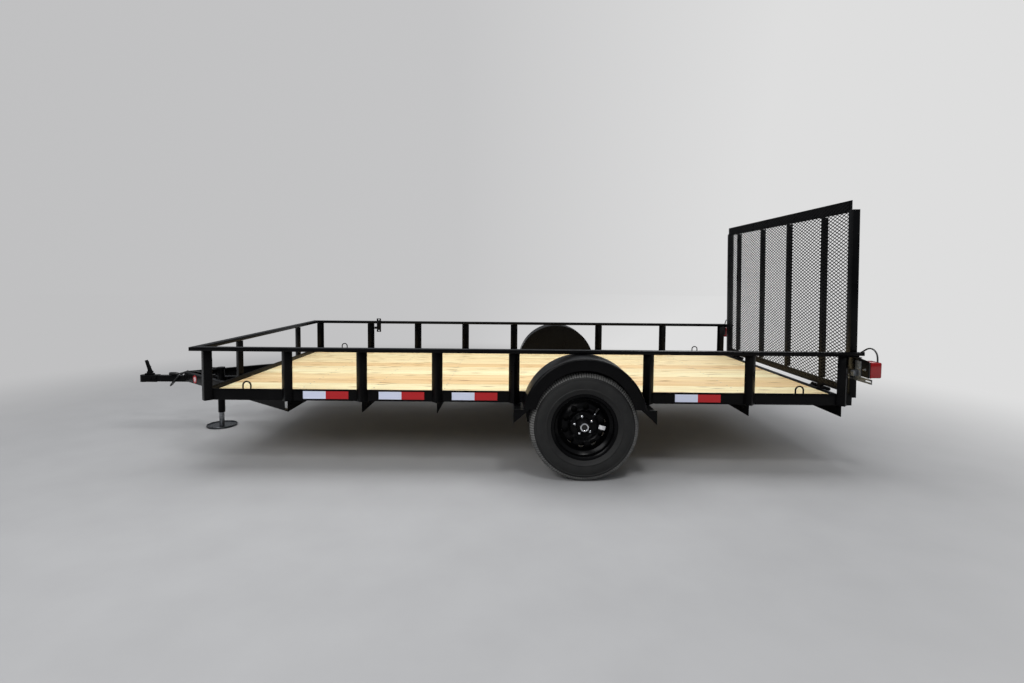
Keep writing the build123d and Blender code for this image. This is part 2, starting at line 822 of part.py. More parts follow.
with BuildPart() as gate_frame:
    # capped square-tube posts, an angle along the bottom, and a deep band across the top
    for side in sides.values():
        with BuildSketch(Plane.XY.offset(gate_bottom)):
            with Locations((gate_x + gate_post_size / 2, side * (gate_half - gate_post_size / 2))):
                Rectangle(gate_post_size, gate_post_size)
                Rectangle(
                    gate_post_size - 2 * tube_wall,
                    gate_post_size - 2 * tube_wall,
                    mode=Mode.SUBTRACT,
                )
        extrude(amount=gate_height)
    rail_low = gate_bottom + 24.0
    with BuildSketch(Plane.XZ.offset(-gate_inner)):
        with BuildLine():
            Polyline(
                (gate_x + mesh_sheet, rail_low),
                (gate_x + gate_post_size - 4, rail_low),
                (gate_x + gate_post_size - 4, rail_low + rail_wall),
                (gate_x + mesh_sheet + rail_wall, rail_low + rail_wall),
                (gate_x + mesh_sheet + rail_wall, rail_low + gate_rail_height),
                (gate_x + mesh_sheet, rail_low + gate_rail_height),
                close=True,
            )
        make_face()
    extrude(amount=2 * gate_inner)
    band_top = gate_top + gate_band_rise
    with BuildSketch(Plane.YZ.offset(gate_x + mesh_sheet)):
        with Locations((0, band_top - gate_band_height / 2)):
            Rectangle(2 * (gate_half - gate_band_inset), gate_band_height)
    extrude(amount=rail_wall)
    with BuildSketch(Plane.XY.offset(gate_top)):
        with GridLocations(0, 2 * gate_half - gate_post_size, 1, 2):
            with Locations((gate_x + gate_post_size / 2, 0)):
                Rectangle(gate_post_size, gate_post_size)
    extrude(amount=gate_cap_sheet)
save(leaned(gate_frame.part), "gate_frame")

bar_z = rail_low + gate_rail_height
with BuildPart() as gate_bars:
    # angle uprights behind the mesh, one leg against it and the other turned back
    bar_front = gate_x + mesh_sheet
    with BuildSketch(Plane.XY.offset(bar_z)):
        for y in gate_bar_y:
            with Locations((bar_front + gate_bar_sheet / 2, y)):
                Rectangle(gate_bar_sheet, gate_bar_width)
            with Locations((bar_front + gate_bar_depth / 2, y - (gate_bar_width - gate_bar_sheet) / 2)):
                Rectangle(gate_bar_depth, gate_bar_sheet)
    extrude(amount=band_top - gate_band_height - bar_z)
save(leaned(gate_bars.part), "gate_bars")

with BuildPart() as gate_mesh:
    # expanded sheet over the bottom angle, the bars and the band
    with BuildSketch(Plane.YZ.offset(gate_x)):
        with Locations((0, (rail_low + 20 + band_top - 4) / 2)):
            Rectangle(2 * gate_inner - 2, band_top - 4 - rail_low - 20)
    extrude(amount=mesh_sheet)
save(leaned(gate_mesh.part), "gate_mesh")

knuckle = hinge_length / 3
with BuildPart() as hinge_pins:
    # fixed halves: a plate out from the rear rail and a pin with a barrel at each end
    for y in hinge_y:
        pin_plane = upright(hinge_x, y, hinge_z)
        with BuildSketch(pin_plane):
            Circle(hinge_pin_radius)
        extrude(amount=hinge_length / 2, both=True)
        for end in (-1, 1):
            mid = y + end * knuckle
            with BuildSketch(Plane.XZ.offset(-mid)):
                with Locations((hinge_x, hinge_z)):
                    Circle(hinge_barrel_radius)
                with BuildLine():
                    Polyline(
                        (rear_x, hinge_z - 34),
                        (rear_x, deck_top),
                        (hinge_x, hinge_z + 4),
                        (hinge_x, hinge_z - hinge_barrel_radius + 1),
                        close=True,
                    )
                make_face()
            extrude(amount=knuckle / 2 - 2, both=True)
save(hinge_pins.part, "hinge_pins")

with BuildPart() as gate_hinges:
    # moving halves: a barrel on the pin and a strap up to the gate's bottom angle
    for y in hinge_y:
        with BuildSketch(Plane.XZ.offset(-y)):
            with Locations((hinge_x, hinge_z)):
                Circle(hinge_barrel_radius)
            with Locations((hinge_x, (hinge_z + rail_low) / 2)):
                Rectangle(10, rail_low - hinge_z)
            with Locations((hinge_x, hinge_z)):
                Circle(hinge_pin_radius + hinge_pin_clearance, mode=Mode.SUBTRACT)
        extrude(amount=knuckle / 2 - 2, both=True)
save(leaned(gate_hinges.part), "gate_hinges")

# ---------------------------------------------------------------- fittings on the bed
hoop_y = half_width - rail_wall - hoop_rod_radius
with BuildPart() as tie_down_hoops:
    # bent rod against the inside of each side rail, welded to the rail's upright leg
    for x in (front_x + hoop_from_front, rear_x - hoop_from_rear):
        for side in sides.values():
            half = hoop_width / 2 - hoop_rod_radius
            hoop_plane = upright(x, side * hoop_y, deck_top)
            with BuildLine(hoop_plane):
                Polyline((-half, 0), (-half, hoop_height - half - hoop_rod_radius))
                ThreePointArc(
                    (-half, hoop_height - half - hoop_rod_radius),
                    (0, hoop_height - hoop_rod_radius),
                    (half, hoop_height - half - hoop_rod_radius),
                )
                Line((half, hoop_height - half - hoop_rod_radius), (half, 0))
            with BuildSketch(Plane.XY.offset(deck_top)):
                with Locations((x - half, side * hoop_y)):
                    Circle(hoop_rod_radius)
            sweep()
save(tie_down_hoops.part, "tie_down_hoops")

lamp_plate_x = rear_x - lamp_plate_inset - lamp_plate_sheet
lamp_outer = half_width + lamp_plate_reach
with BuildPart() as lamp_brackets:
    # a plate standing out behind the last post, with a lip along its top
    for side in sides.values():
        with BuildSketch(Plane.YZ.offset(lamp_plate_x)):
            with BuildLine():
                Polyline(
                    (side * (half_width - 6), top_rail_bottom),
                    (side * (half_width - 6), lamp_plate_bottom),
                    (side * lamp_outer, lamp_z - lamp_size / 2),
                    (side * lamp_outer, lamp_z + lamp_size / 2 + 6),
                    (side * (half_width + 88), top_rail_bottom),
                    close=True,
                )
            make_face()
        extrude(amount=lamp_plate_sheet)
        with BuildSketch(Plane.XY.offset(top_rail_bottom - rail_wall)):
            with BuildLine():
                Polyline(
                    (post_x[-1] + 4, side * (half_width + 34)),
                    (rear_x, side * (half_width + 1)),
                    (rear_x, side * (half_width + 88)),
                    (rear_x - 20, side * (half_width + 88)),
                    close=True,
                )
            make_face()
        extrude(amount=rail_wall)
save(lamp_brackets.part, "lamp_brackets")

for name, side in sides.items():
    lamp_y = side * (lamp_outer - lamp_size / 2)
    with BuildPart() as tail_lamp:
        with BuildSketch(Plane.YZ.offset(lamp_plate_x + lamp_plate_sheet)):
            with Locations((lamp_y, lamp_z)):
                Rectangle(lamp_size, lamp_size)
        extrude(amount=lamp_depth)
        fillet(tail_lamp.edges().filter_by(Axis.X), 10)
        fillet(tail_lamp.faces().sort_by(Axis.X)[-1].edges(), 8)
    save(tail_lamp.part, f"tail_lamp_{name}")

number_bar_x = lamp_plate_x - number_bar_sheet
number_bar_y = -half_width - number_bar_reach
number_link_y = -half_width - lamp_plate_reach / 2
number_link_top = lamp_plate_bottom + 60
number_bar_low = number_plate_z - number_bar_height / 2
with BuildPart() as number_plate_bar:
    # slotted strip and its upright link, on the front of the left-hand lamp's bracket
    with BuildSketch(Plane.YZ.offset(number_bar_x)):
        with Locations((number_bar_y, number_plate_z)):
            Rectangle(number_bar_length, number_bar_height)
            with GridLocations(number_slot_pitch, 0, 2, 1):
                SlotOverall(58, 8, mode=Mode.SUBTRACT)
        with Locations((number_link_y, (number_bar_low + number_link_top) / 2)):
            Rectangle(60, number_link_top - number_bar_low)
    extrude(amount=number_bar_sheet)
save(number_plate_bar.part, "number_plate_bar")

box_depth, box_width, box_height = number_box
with BuildPart() as number_lamp:
    # small zinc housing in front of the link
    with BuildSketch(Plane.XY.offset(number_plate_z + number_bar_height / 2)):
        with Locations((number_bar_x - box_depth / 2, number_link_y + 20)):
            Rectangle(box_depth, box_width)
    extrude(amount=box_height)
    fillet(number_lamp.edges().filter_by(Axis.Z), 5)
save(number_lamp.part, "number_lamp")

spare_x = front_x + spare_from_front
spare_z = top_rail_top - spare_bar_drop
spare_arm_z = top_rail_bottom - spare_arm_height / 2 - 31.0
with BuildPart() as spare_mount:
    # upright bar against the right-hand top rail, tied to the second post's toe
    toe_x = post_x[1] + post_leg / sqrt(2)
    with BuildSketch(Plane.XZ.offset(-half_width - top_rail_gap)):
        with Locations((spare_x, spare_z)):
            Rectangle(spare_bar_width, spare_bar_height)
            with GridLocations(0, spare_bolt_pitch, 1, 2):
                Circle(7, mode=Mode.SUBTRACT)
        with Locations(((spare_x + toe_x) / 2, spare_arm_z)):
            Rectangle(spare_x - toe_x, spare_arm_height)
    extrude(amount=spare_sheet)
save(spare_mount.part, "spare_mount")

with BuildPart() as gate_keepers:
    # straps off the top rails' ends, outboard of the gate, each with a pin beside the gate's post
    keeper_y = half_width + top_rail_gap
    for side in sides.values():
        with BuildSketch(Plane.XY.offset(top_rail_bottom)):
            with Locations((rear_x + keeper_reach / 2, side * (keeper_y + keeper_sheet / 2))):
                Rectangle(keeper_reach, keeper_sheet)
        extrude(amount=top_rail_height)
        with BuildSketch(upright(gate_x + gate_post_size / 2, side * (gate_half + 3), top_rail_mid_z)):
            Circle(keeper_pin_radius)
        extrude(amount=-side * (keeper_y + keeper_sheet + 14 - gate_half - 3))
save(gate_keepers.part, "gate_keepers")

# ---------------------------------------------------------------- leads
def cord_radii(points):
    """The arc that joins each two runs of a cord's route, as large as they allow."""
    corners = [Vector(*point) for point in points]
    radii = []
    for before, here, after in zip(corners, corners[1:], corners[2:]):
        into = here - before
        away = after - here
        turn = radians(into.get_angle(away))
        radii.append(cord_share * min(into.length, away.length) / tan(turn / 2))
    print("cord radii", [round(radius) for radius in radii])
    return radii


cord_share = 0.45            # of the shorter run, taken by each arc
lead_radius = 5.0
lead_route = [       # from the apex of the tongue, across and up from the pole's middle
    (247, 0, 31.5),
    (207, 1, 34),
    (165, 2, 42),
    (122, 0, 53),
    (76, -4, 62),
    (32, -10, 63),
    (-8, -17, 57),
    (-40, -38, 32),
    (-70, -49, -6),
    (-106, -41, -44),
    (-134, -8, -68),
    (-142, 33, -61),
    (-130, 64, -32),
    (-100, 77, 4),
    (-67, 78, 33),
    (-37, 76, 50),
    (-14, 54, 57),
    (-13, 22, 55),
    (-35, -1, 47),
    (-66, 0, 39.5),
]
plug_radius = 14.0
plug_length = 74.0
clip_half = 8.0
with BuildPart() as tow_lead:
    # wound once round the pole, clipped to its top behind, with its plug lying on it in front
    lead_points = [(apex_x + x, y, pole_mid_z + z) for x, y, z in lead_route]
    with BuildLine() as lead_line:
        FilletPolyline(*lead_points, radius=cord_radii(lead_points))
    with BuildSketch(Plane(origin=lead_line.line @ 0, z_dir=lead_line.line % 0)):
        Circle(lead_radius)
    sweep()
    with BuildSketch(Plane.XY.offset(pole_top)):
        with Locations((apex_x + lead_route[0][0] - clip_half, 0)):
            Rectangle(2 * clip_half, 24)
    extrude(amount=2 * lead_radius + 3)
    plug_x, plug_y, plug_z = lead_route[-1]
    with BuildSketch(Plane.YZ.offset(apex_x + plug_x)):
        with Locations((plug_y, pole_top + plug_radius)):
            Circle(plug_radius)
    extrude(amount=-plug_length)
save(tow_lead.part, "tow_lead")

lamp_lead_radius = 5.0
lamp_lead_route = [      # from the lamp's top: back, inboard and up
    (0, 0, 0),
    (0, 0, 27),
    (1, 12, 54),
    (-1, 35, 74),
    (-4, 66, 80),
    (-7, 97, 71),
    (-12, 120, 54),
    (-24, 134, 40),
    (-42, 138, 32),
    (-60, 137.5, 29.5),
]
lamp_lead_x = lamp_plate_x + lamp_plate_sheet + lamp_depth - 20
lamp_lead_y = lamp_outer - 16
with BuildPart() as lamp_leads:
    # from each lamp's top over its bracket into the end of the top rail
    for side in sides.values():
        lamp_points = [
            (lamp_lead_x + x, side * (lamp_lead_y - y), lamp_z + lamp_size / 2 + z)
            for x, y, z in lamp_lead_route
        ]
        with BuildLine() as lamp_line:
            FilletPolyline(*lamp_points, radius=cord_radii(lamp_points))
        with BuildSketch(Plane(origin=lamp_line.line @ 0, z_dir=lamp_line.line % 0)):
            Circle(lamp_lead_radius)
        sweep()
save(lamp_leads.part, "lamp_leads")
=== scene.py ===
"""Utility trailer: finishes, detailed pieces, floor, lamps and camera.

Metres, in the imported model's frame: +X to the rear, +Y to the right-hand side, +Z up.
"""
import json
from math import atan2, cos, pi, radians, sin, sqrt

import bmesh
import bpy
from mathutils import Matrix, Vector


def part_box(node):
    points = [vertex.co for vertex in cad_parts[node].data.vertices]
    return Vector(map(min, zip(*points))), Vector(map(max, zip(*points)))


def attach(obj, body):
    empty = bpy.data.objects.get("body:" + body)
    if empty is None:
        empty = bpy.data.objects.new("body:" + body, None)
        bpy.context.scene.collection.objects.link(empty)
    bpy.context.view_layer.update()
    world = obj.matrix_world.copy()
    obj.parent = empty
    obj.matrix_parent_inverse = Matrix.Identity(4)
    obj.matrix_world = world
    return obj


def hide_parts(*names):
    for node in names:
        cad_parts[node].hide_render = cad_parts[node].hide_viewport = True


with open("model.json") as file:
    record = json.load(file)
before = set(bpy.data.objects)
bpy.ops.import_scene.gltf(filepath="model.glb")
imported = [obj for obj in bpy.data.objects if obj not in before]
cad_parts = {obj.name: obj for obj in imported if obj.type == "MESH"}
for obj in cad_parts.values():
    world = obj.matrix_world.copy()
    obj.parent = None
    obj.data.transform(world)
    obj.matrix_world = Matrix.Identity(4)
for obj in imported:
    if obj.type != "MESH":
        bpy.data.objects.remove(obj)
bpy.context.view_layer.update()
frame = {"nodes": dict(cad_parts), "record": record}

MM = 0.001
UP = Vector((0, 0, 1))


# ---------------------------------------------------------------- modelling by hand
def leave_edit():
    if bpy.context.object and bpy.context.object.mode != "OBJECT":
        bpy.ops.object.mode_set(mode="OBJECT")


def pick(*objects):
    """Only these objects are selected, and the first is the active one."""
    leave_edit()
    bpy.ops.object.select_all(action="DESELECT")
    for obj in objects:
        obj.select_set(True)
    bpy.context.view_layer.objects.active = objects[0]


def edit(obj):
    """Into edit mode with everything selected."""
    pick(obj)
    bpy.ops.object.mode_set(mode="EDIT")
    bpy.ops.mesh.select_all(action="SELECT")


def settle(obj):
    """The object goes to the origin, unturned and unscaled, with its place in its mesh."""
    pick(obj)
    bpy.ops.object.transform_apply(location=True, rotation=True, scale=True)
    return obj


def outward(obj, merge=0.00002):
    """Doubles merged and every face turned outwards."""
    edit(obj)
    bpy.ops.mesh.remove_doubles(threshold=merge)
    bpy.ops.mesh.normals_make_consistent(inside=False)
    leave_edit()
    return obj


def modified(obj, kind, **settings):
    """A modifier with its settings, applied."""
    pick(obj)
    modifier = obj.modifiers.new(kind.title(), kind)
    for name, value in settings.items():
        setattr(modifier, name, value)
    bpy.ops.object.modifier_apply(modifier=modifier.name)
    return obj


def bevelled(obj, width, segments=2, angle=40):
    """Edges sharper than the angle get rounded."""
    return modified(
        obj, "BEVEL", width=width, segments=segments, limit_method="ANGLE",
        angle_limit=radians(angle), harden_normals=False,
    )


def smooth(obj, angle=40):
    pick(obj)
    bpy.ops.object.shade_smooth_by_angle(angle=radians(angle))
    return obj


def block(low, high, bevel=0.0, segments=2):
    """A cube pulled out to two corners, with its edges eased."""
    low, high = Vector(low), Vector(high)
    bpy.ops.mesh.primitive_cube_add(size=1, location=(low + high) / 2)
    obj = bpy.context.object
    obj.scale = high - low
    settle(obj)
    if bevel:
        bevelled(obj, bevel, segments)
    return smooth(obj)


def rod(start, end, radius, sides=24, bevel=0.0):
    """A round bar between two points."""
    start, end = Vector(start), Vector(end)
    along = end - start
    bpy.ops.mesh.primitive_cylinder_add(
        vertices=sides, radius=radius, depth=along.length, location=(start + end) / 2,
        rotation=along.to_track_quat("Z", "Y").to_euler(),
    )
    obj = settle(bpy.context.object)
    if bevel:
        bevelled(obj, bevel, 2, 50)
    return smooth(obj)


def drawn(points, closed=False):
    """A line of edges drawn corner by corner; a closed one is filled with a face."""
    points = [Vector(point) for point in points]
    bpy.ops.mesh.primitive_plane_add(size=MM, location=points[0])
    obj = bpy.context.object
    edit(obj)
    bpy.ops.mesh.merge(type="CENTER")
    for start, end in zip(points, points[1:]):
        bpy.ops.mesh.extrude_vertices_move(TRANSFORM_OT_translate={"value": end - start})
    if closed:
        bpy.ops.mesh.select_all(action="SELECT")
        bpy.ops.mesh.edge_face_add()
    leave_edit()
    return settle(obj)


def pulled(points, shift, bevel=0.0, angle=40):
    """A filled outline extruded by a shift."""
    obj = drawn(points, closed=True)
    edit(obj)
    bpy.ops.mesh.extrude_region_move(TRANSFORM_OT_translate={"value": Vector(shift)})
    outward(obj)
    if bevel:
        bevelled(obj, bevel, 2, angle)
    return smooth(obj)


def turned(points, centre, axis, steps=96, sweep=2 * pi):
    """A line spun about an axis."""
    obj = drawn(points)
    edit(obj)
    bpy.ops.mesh.spin(steps=steps, angle=sweep, center=centre, axis=axis)
    outward(obj)
    return obj


def joined(name, *objects):
    """Several objects made into one, which keeps the first one's materials and the others'."""
    pick(*objects)
    if len(objects) > 1:
        bpy.ops.object.join()
    obj = bpy.context.object
    obj.name = obj.data.name = name
    return obj


def repeated(master, places):
    """Copies of a finished small piece at each place, in one mesh; the master goes."""
    mesh = bmesh.new()
    for place in places:
        copy = master.data.copy()
        copy.transform(place)
        if place.determinant() < 0:
            copy.flip_normals()
        mesh.from_mesh(copy)
        bpy.data.meshes.remove(copy)
    mesh.to_mesh(master.data)
    mesh.free()
    return master


def cable(points, radius, resolution=4):
    """A round flexible line on one smooth curve through the control points."""
    curve = bpy.data.curves.new("cable", "CURVE")
    curve.dimensions = "3D"
    curve.bevel_depth = radius
    curve.bevel_resolution = resolution
    curve.use_fill_caps = True
    curve.resolution_u = 12
    spline = curve.splines.new("NURBS")
    spline.points.add(len(points) - 1)
    for point, place in zip(spline.points, points):
        point.co = (*place, 1)
    spline.order_u = 3
    spline.use_endpoint_u = True
    obj = bpy.data.objects.new("cable", curve)
    bpy.context.scene.collection.objects.link(obj)
    pick(obj)
    bpy.ops.object.convert(target="MESH")
    return smooth(bpy.context.object, 60)


def mirrored(obj):
    """A copy on the other side of the trailer's centre line."""
    pick(obj)
    bpy.ops.object.duplicate()
    copy = bpy.context.object
    copy.scale.y = -1
    settle(copy)
    edit(copy)
    bpy.ops.mesh.flip_normals()
    leave_edit()
    return copy


def piece(name, obj, body, material=None, replaces=()):
    """Names a finished piece, gives it its finish, and lets it ride on its body."""
    obj.name = obj.data.name = name
    if material:
        obj.data.materials.clear()
        obj.data.materials.append(material)
    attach(obj, body)
    if replaces:
        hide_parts(*replaces)
    return obj


# ---------------------------------------------------------------- finishes
def colour(code, alpha=1.0):
    """A hex sRGB colour as linear values."""
    values = [int(code[i:i + 2], 16) / 255 for i in (1, 3, 5)]
    return [v / 12.92 if v <= 0.04045 else ((v + 0.055) / 1.055) ** 2.4 for v in values] + [alpha]


def add_node(tree, kind, sockets=None, stops=None, **settings):
    """One node with its settings; a socket gets a value or another node's output."""
    node = tree.nodes.new(kind)
    for name, value in settings.items():
        setattr(node, name, value)
    for name, value in (sockets or {}).items():
        if isinstance(value, bpy.types.NodeSocket):
            tree.links.new(value, node.inputs[name])
        else:
            node.inputs[name].default_value = value
    if stops:
        ramp = node.color_ramp.elements
        while len(ramp) < len(stops):
            ramp.new(0.5)
        for element, (place, code) in zip(ramp, stops):
            element.position = place
            element.color = colour(code)
    return node


def new_finish(name):
    """An empty material: its node tree, its shader and its Object coordinates."""
    material = bpy.data.materials.new(name)
    material.use_nodes = True
    tree = material.node_tree
    shader = tree.nodes["Principled BSDF"]
    place = add_node(tree, "ShaderNodeTexCoord").outputs["Object"]
    return material, tree, shader, place


def wire(tree, source, shader, socket):
    tree.links.new(source, shader.inputs[socket])


def enamel(name, code, dusty, rough=0.24, peel=0.25):
    """Sprayed gloss enamel on steel: deep and wet-looking, with faint orange peel and film dust."""
    material, tree, shader, place = new_finish(name)
    # broad patches of dust and handling, about 120 mm across
    patches = add_node(
        tree, "ShaderNodeTexNoise", {"Vector": place, "Scale": 8.0, "Detail": 6.0, "Roughness": 0.65},
    )
    tone = add_node(
        tree, "ShaderNodeValToRGB", {"Fac": patches.outputs["Fac"]},
        stops=((0.35, code), (0.75, dusty)),
    )
    wire(tree, tone.outputs["Color"], shader, "Base Color")
    gloss = add_node(
        tree, "ShaderNodeMapRange",
        {
            "Value": patches.outputs["Fac"], "From Min": 0.3, "From Max": 0.8,
            "To Min": rough, "To Max": rough + 0.16,
        },
    )
    wire(tree, gloss.outputs["Result"], shader, "Roughness")
    # orange peel about 4 mm across
    skin = add_node(tree, "ShaderNodeTexNoise", {"Vector": place, "Scale": 260.0, "Detail": 1.0})
    bump = add_node(
        tree, "ShaderNodeBump", {"Height": skin.outputs["Fac"], "Strength": peel, "Distance": 0.00012},
    )
    wire(tree, bump.outputs["Normal"], shader, "Normal")
    shader.inputs["IOR"].default_value = 1.18
    return material


def zinc_plate(name, code="#A9ABAD", dull="#7E8084", rough=0.3):
    """Bright zinc plating on steel: a metal with cloudy patches and a slightly uneven shine."""
    material, tree, shader, place = new_finish(name)
    clouds = add_node(tree, "ShaderNodeTexNoise", {"Vector": place, "Scale": 60.0, "Detail": 5.0})
    tone = add_node(
        tree, "ShaderNodeValToRGB", {"Fac": clouds.outputs["Fac"]}, stops=((0.35, dull), (0.65, code)),
    )
    wire(tree, tone.outputs["Color"], shader, "Base Color")
    gloss = add_node(
        tree, "ShaderNodeMapRange",
        {
            "Value": clouds.outputs["Fac"], "From Min": 0.3, "From Max": 0.7,
            "To Min": rough + 0.12, "To Max": rough,
        },
    )
    wire(tree, gloss.outputs["Result"], shader, "Roughness")
    bump = add_node(
        tree, "ShaderNodeBump", {"Height": clouds.outputs["Fac"], "Strength": 0.15, "Distance": 0.0002},
    )
    wire(tree, bump.outputs["Normal"], shader, "Normal")
    shader.inputs["Metallic"].default_value = 1.0
    return material


def pine_boards(name, pitch, edge):
    """Planed and treated softwood: cream early wood, tan late-wood lines and a few brown knots."""
    material, tree, shader, place = new_finish(name)
    split = add_node(tree, "ShaderNodeSeparateXYZ", {"Vector": place})
    # each board has its own grain: its number shifts the pattern along the log
    count = add_node(tree, "ShaderNodeMath", {0: split.outputs["Y"], 1: edge}, operation="SUBTRACT")
    row = add_node(tree, "ShaderNodeMath", {0: count.outputs["Value"], 1: pitch}, operation="DIVIDE")
    board = add_node(tree, "ShaderNodeMath", {0: row.outputs["Value"]}, operation="FLOOR")
    lot = add_node(tree, "ShaderNodeTexWhiteNoise", {"W": board.outputs["Value"]}, noise_dimensions="1D")
    shift = add_node(
        tree, "ShaderNodeVectorMath", {0: lot.outputs["Color"], "Scale": 40.0}, operation="SCALE",
    )
    spot = add_node(
        tree, "ShaderNodeVectorMath", {0: place, 1: shift.outputs["Vector"]}, operation="ADD",
    )
    # late-wood lines some 7 mm apart, which wander by about 15 mm in 700 mm of length
    bend = add_node(
        tree, "ShaderNodeMapping", {"Vector": spot.outputs["Vector"], "Scale": (1.3, 9.0, 9.0)},
    )
    drift = add_node(
        tree, "ShaderNodeTexNoise", {"Vector": bend.outputs["Vector"], "Scale": 1.0, "Detail": 2.0},
    )
    stretched = add_node(
        tree, "ShaderNodeMapping", {"Vector": spot.outputs["Vector"], "Scale": (0.8, 140.0, 60.0)},
    )
    wander = add_node(
        tree, "ShaderNodeVectorMath",
        {0: drift.outputs["Color"], 1: (0.3, 4.0, 4.0)}, operation="MULTIPLY",
    )
    lines = add_node(
        tree, "ShaderNodeVectorMath",
        {0: stretched.outputs["Vector"], 1: wander.outputs["Vector"]}, operation="ADD",
    )
    grain = add_node(
        tree, "ShaderNodeTexNoise", {"Vector": lines.outputs["Vector"], "Scale": 1.0, "Detail": 4.0},
    )
    wood = add_node(
        tree, "ShaderNodeValToRGB", {"Fac": grain.outputs["Fac"]},
        stops=((0.34, "#EBE2C2"), (0.53, "#E5D8B0"), (0.62, "#CDAF7E"), (0.74, "#A07C4C")),
    )
    # board to board tone: most are sapwood, some have a band of tan heartwood
    warm = add_node(
        tree, "ShaderNodeValToRGB", {"Fac": lot.outputs["Value"]},
        stops=((0.1, "#FFFFF6"), (0.5, "#FAF6EA"), (0.8, "#F5E5D0"), (1.0, "#EACFB2")),
    )
    toned = add_node(
        tree, "ShaderNodeVectorMath",
        {0: wood.outputs["Color"], 1: warm.outputs["Color"]}, operation="MULTIPLY",
    )
    # knots: about one each 500 mm of board, some 18 mm across and drawn out along the grain
    cells = add_node(
        tree, "ShaderNodeMapping", {"Vector": spot.outputs["Vector"], "Scale": (2.0, 10.0, 0.0)},
    )
    knots = add_node(
        tree, "ShaderNodeTexVoronoi",
        {"Vector": cells.outputs["Vector"], "Scale": 1.0, "Randomness": 1.0}, voronoi_dimensions="2D",
    )
    size = add_node(
        tree, "ShaderNodeMapRange",
        {
            "Value": knots.outputs["Distance"], "From Min": 0.03, "From Max": 0.13,
            "To Min": 1.0, "To Max": 0.0,
        },
    )
    brown = add_node(
        tree, "ShaderNodeMix",
        {"Factor": size.outputs["Result"], "A": toned.outputs["Vector"], "B": colour("#8A6236")},
        data_type="RGBA",
    )
    wire(tree, brown.outputs["Result"], shader, "Base Color")
    gloss = add_node(
        tree, "ShaderNodeMapRange", {"Value": grain.outputs["Fac"], "To Min": 0.72, "To Max": 0.55},
    )
    wire(tree, gloss.outputs["Result"], shader, "Roughness")
    bump = add_node(
        tree, "ShaderNodeBump", {"Height": grain.outputs["Fac"], "Strength": 0.3, "Distance": 0.0006},
    )
    wire(tree, bump.outputs["Normal"], shader, "Normal")
    return material


def rubber(name, code="#141414", worn="#1F1F1E"):
    """Moulded rubber: matt, with a grey bloom in patches and fine flash lines."""
    material, tree, shader, place = new_finish(name)
    bloom = add_node(
        tree, "ShaderNodeTexNoise", {"Vector": place, "Scale": 14.0, "Detail": 8.0, "Roughness": 0.7},
    )
    tone = add_node(
        tree, "ShaderNodeValToRGB", {"Fac": bloom.outputs["Fac"]}, stops=((0.38, code), (0.7, worn)),
    )
    wire(tree, tone.outputs["Color"], shader, "Base Color")
    gloss = add_node(
        tree, "ShaderNodeMapRange", {"Value": bloom.outputs["Fac"], "To Min": 0.52, "To Max": 0.74},
    )
    wire(tree, gloss.outputs["Result"], shader, "Roughness")
    grit = add_node(tree, "ShaderNodeTexNoise", {"Vector": place, "Scale": 420.0, "Detail": 2.0})
    bump = add_node(
        tree, "ShaderNodeBump", {"Height": grit.outputs["Fac"], "Strength": 0.3, "Distance": 0.0003},
    )
    wire(tree, bump.outputs["Normal"], shader, "Normal")
    shader.inputs["Specular IOR Level"].default_value = 0.35
    return material


def plastic(name, code, rough=0.4, speckle=0.2):
    """Moulded or extruded plastic: even colour with a faint grain."""
    material, tree, shader, place = new_finish(name)
    grain = add_node(tree, "ShaderNodeTexNoise", {"Vector": place, "Scale": 500.0, "Detail": 2.0})
    base = colour(code)
    tone = add_node(
        tree, "ShaderNodeMix",
        {"Factor": grain.outputs["Fac"], "A": base, "B": [v * (1 - speckle) for v in base[:3]] + [1]},
        data_type="RGBA",
    )
    wire(tree, tone.outputs["Result"], shader, "Base Color")
    bump = add_node(
        tree, "ShaderNodeBump", {"Height": grain.outputs["Fac"], "Strength": 0.12, "Distance": 0.0002},
    )
    wire(tree, bump.outputs["Normal"], shader, "Normal")
    shader.inputs["Roughness"].default_value = rough
    return material


BLACK = enamel("black_gloss_enamel", "#030304", "#0A0A0B")
WHEEL_BLACK = enamel("wheel_gloss_enamel", "#030304", "#080809", rough=0.14, peel=0.12)
ZINC = zinc_plate("bright_zinc_plate")
CHROME = zinc_plate("chromed_steel", "#E0E1E3", "#C9CBCE", rough=0.08)
TYRE = rubber("tyre_rubber")
# the tread rubber is painted paler than the sidewall: a painted highlight where light catches the
# shoulders
TREAD = rubber("painted_lit_tread_rubber", "#565655", "#767573")
RED_LENS = plastic("red_acrylic_lens", "#8C050C", rough=0.12, speckle=0.05)
LAMP_BLACK = plastic("black_polypropylene", "#0D0D0D", rough=0.45)

FINISHES = {
    "black_enamel": BLACK,
    "wheel_enamel": WHEEL_BLACK,
    "zinc_plate": ZINC,
    "tyre": TYRE,
    "red_lens": RED_LENS,
    "lamp_plastic": LAMP_BLACK,
}
boards_low, boards_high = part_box("deck_boards")
BOARD_COUNT = 11
BOARD_GAP = 3 * MM
board_pitch = (boards_high.y - boards_low.y + BOARD_GAP) / BOARD_COUNT
FINISHES["pine_boards"] = pine_boards("treated_pine", board_pitch, boards_low.y - BOARD_GAP / 2)

for part in frame["record"]["subparts"]:
    node = frame["nodes"][part["node"]]
    node.data.materials.clear()
    node.data.materials.append(FINISHES[part["material_slot"]])

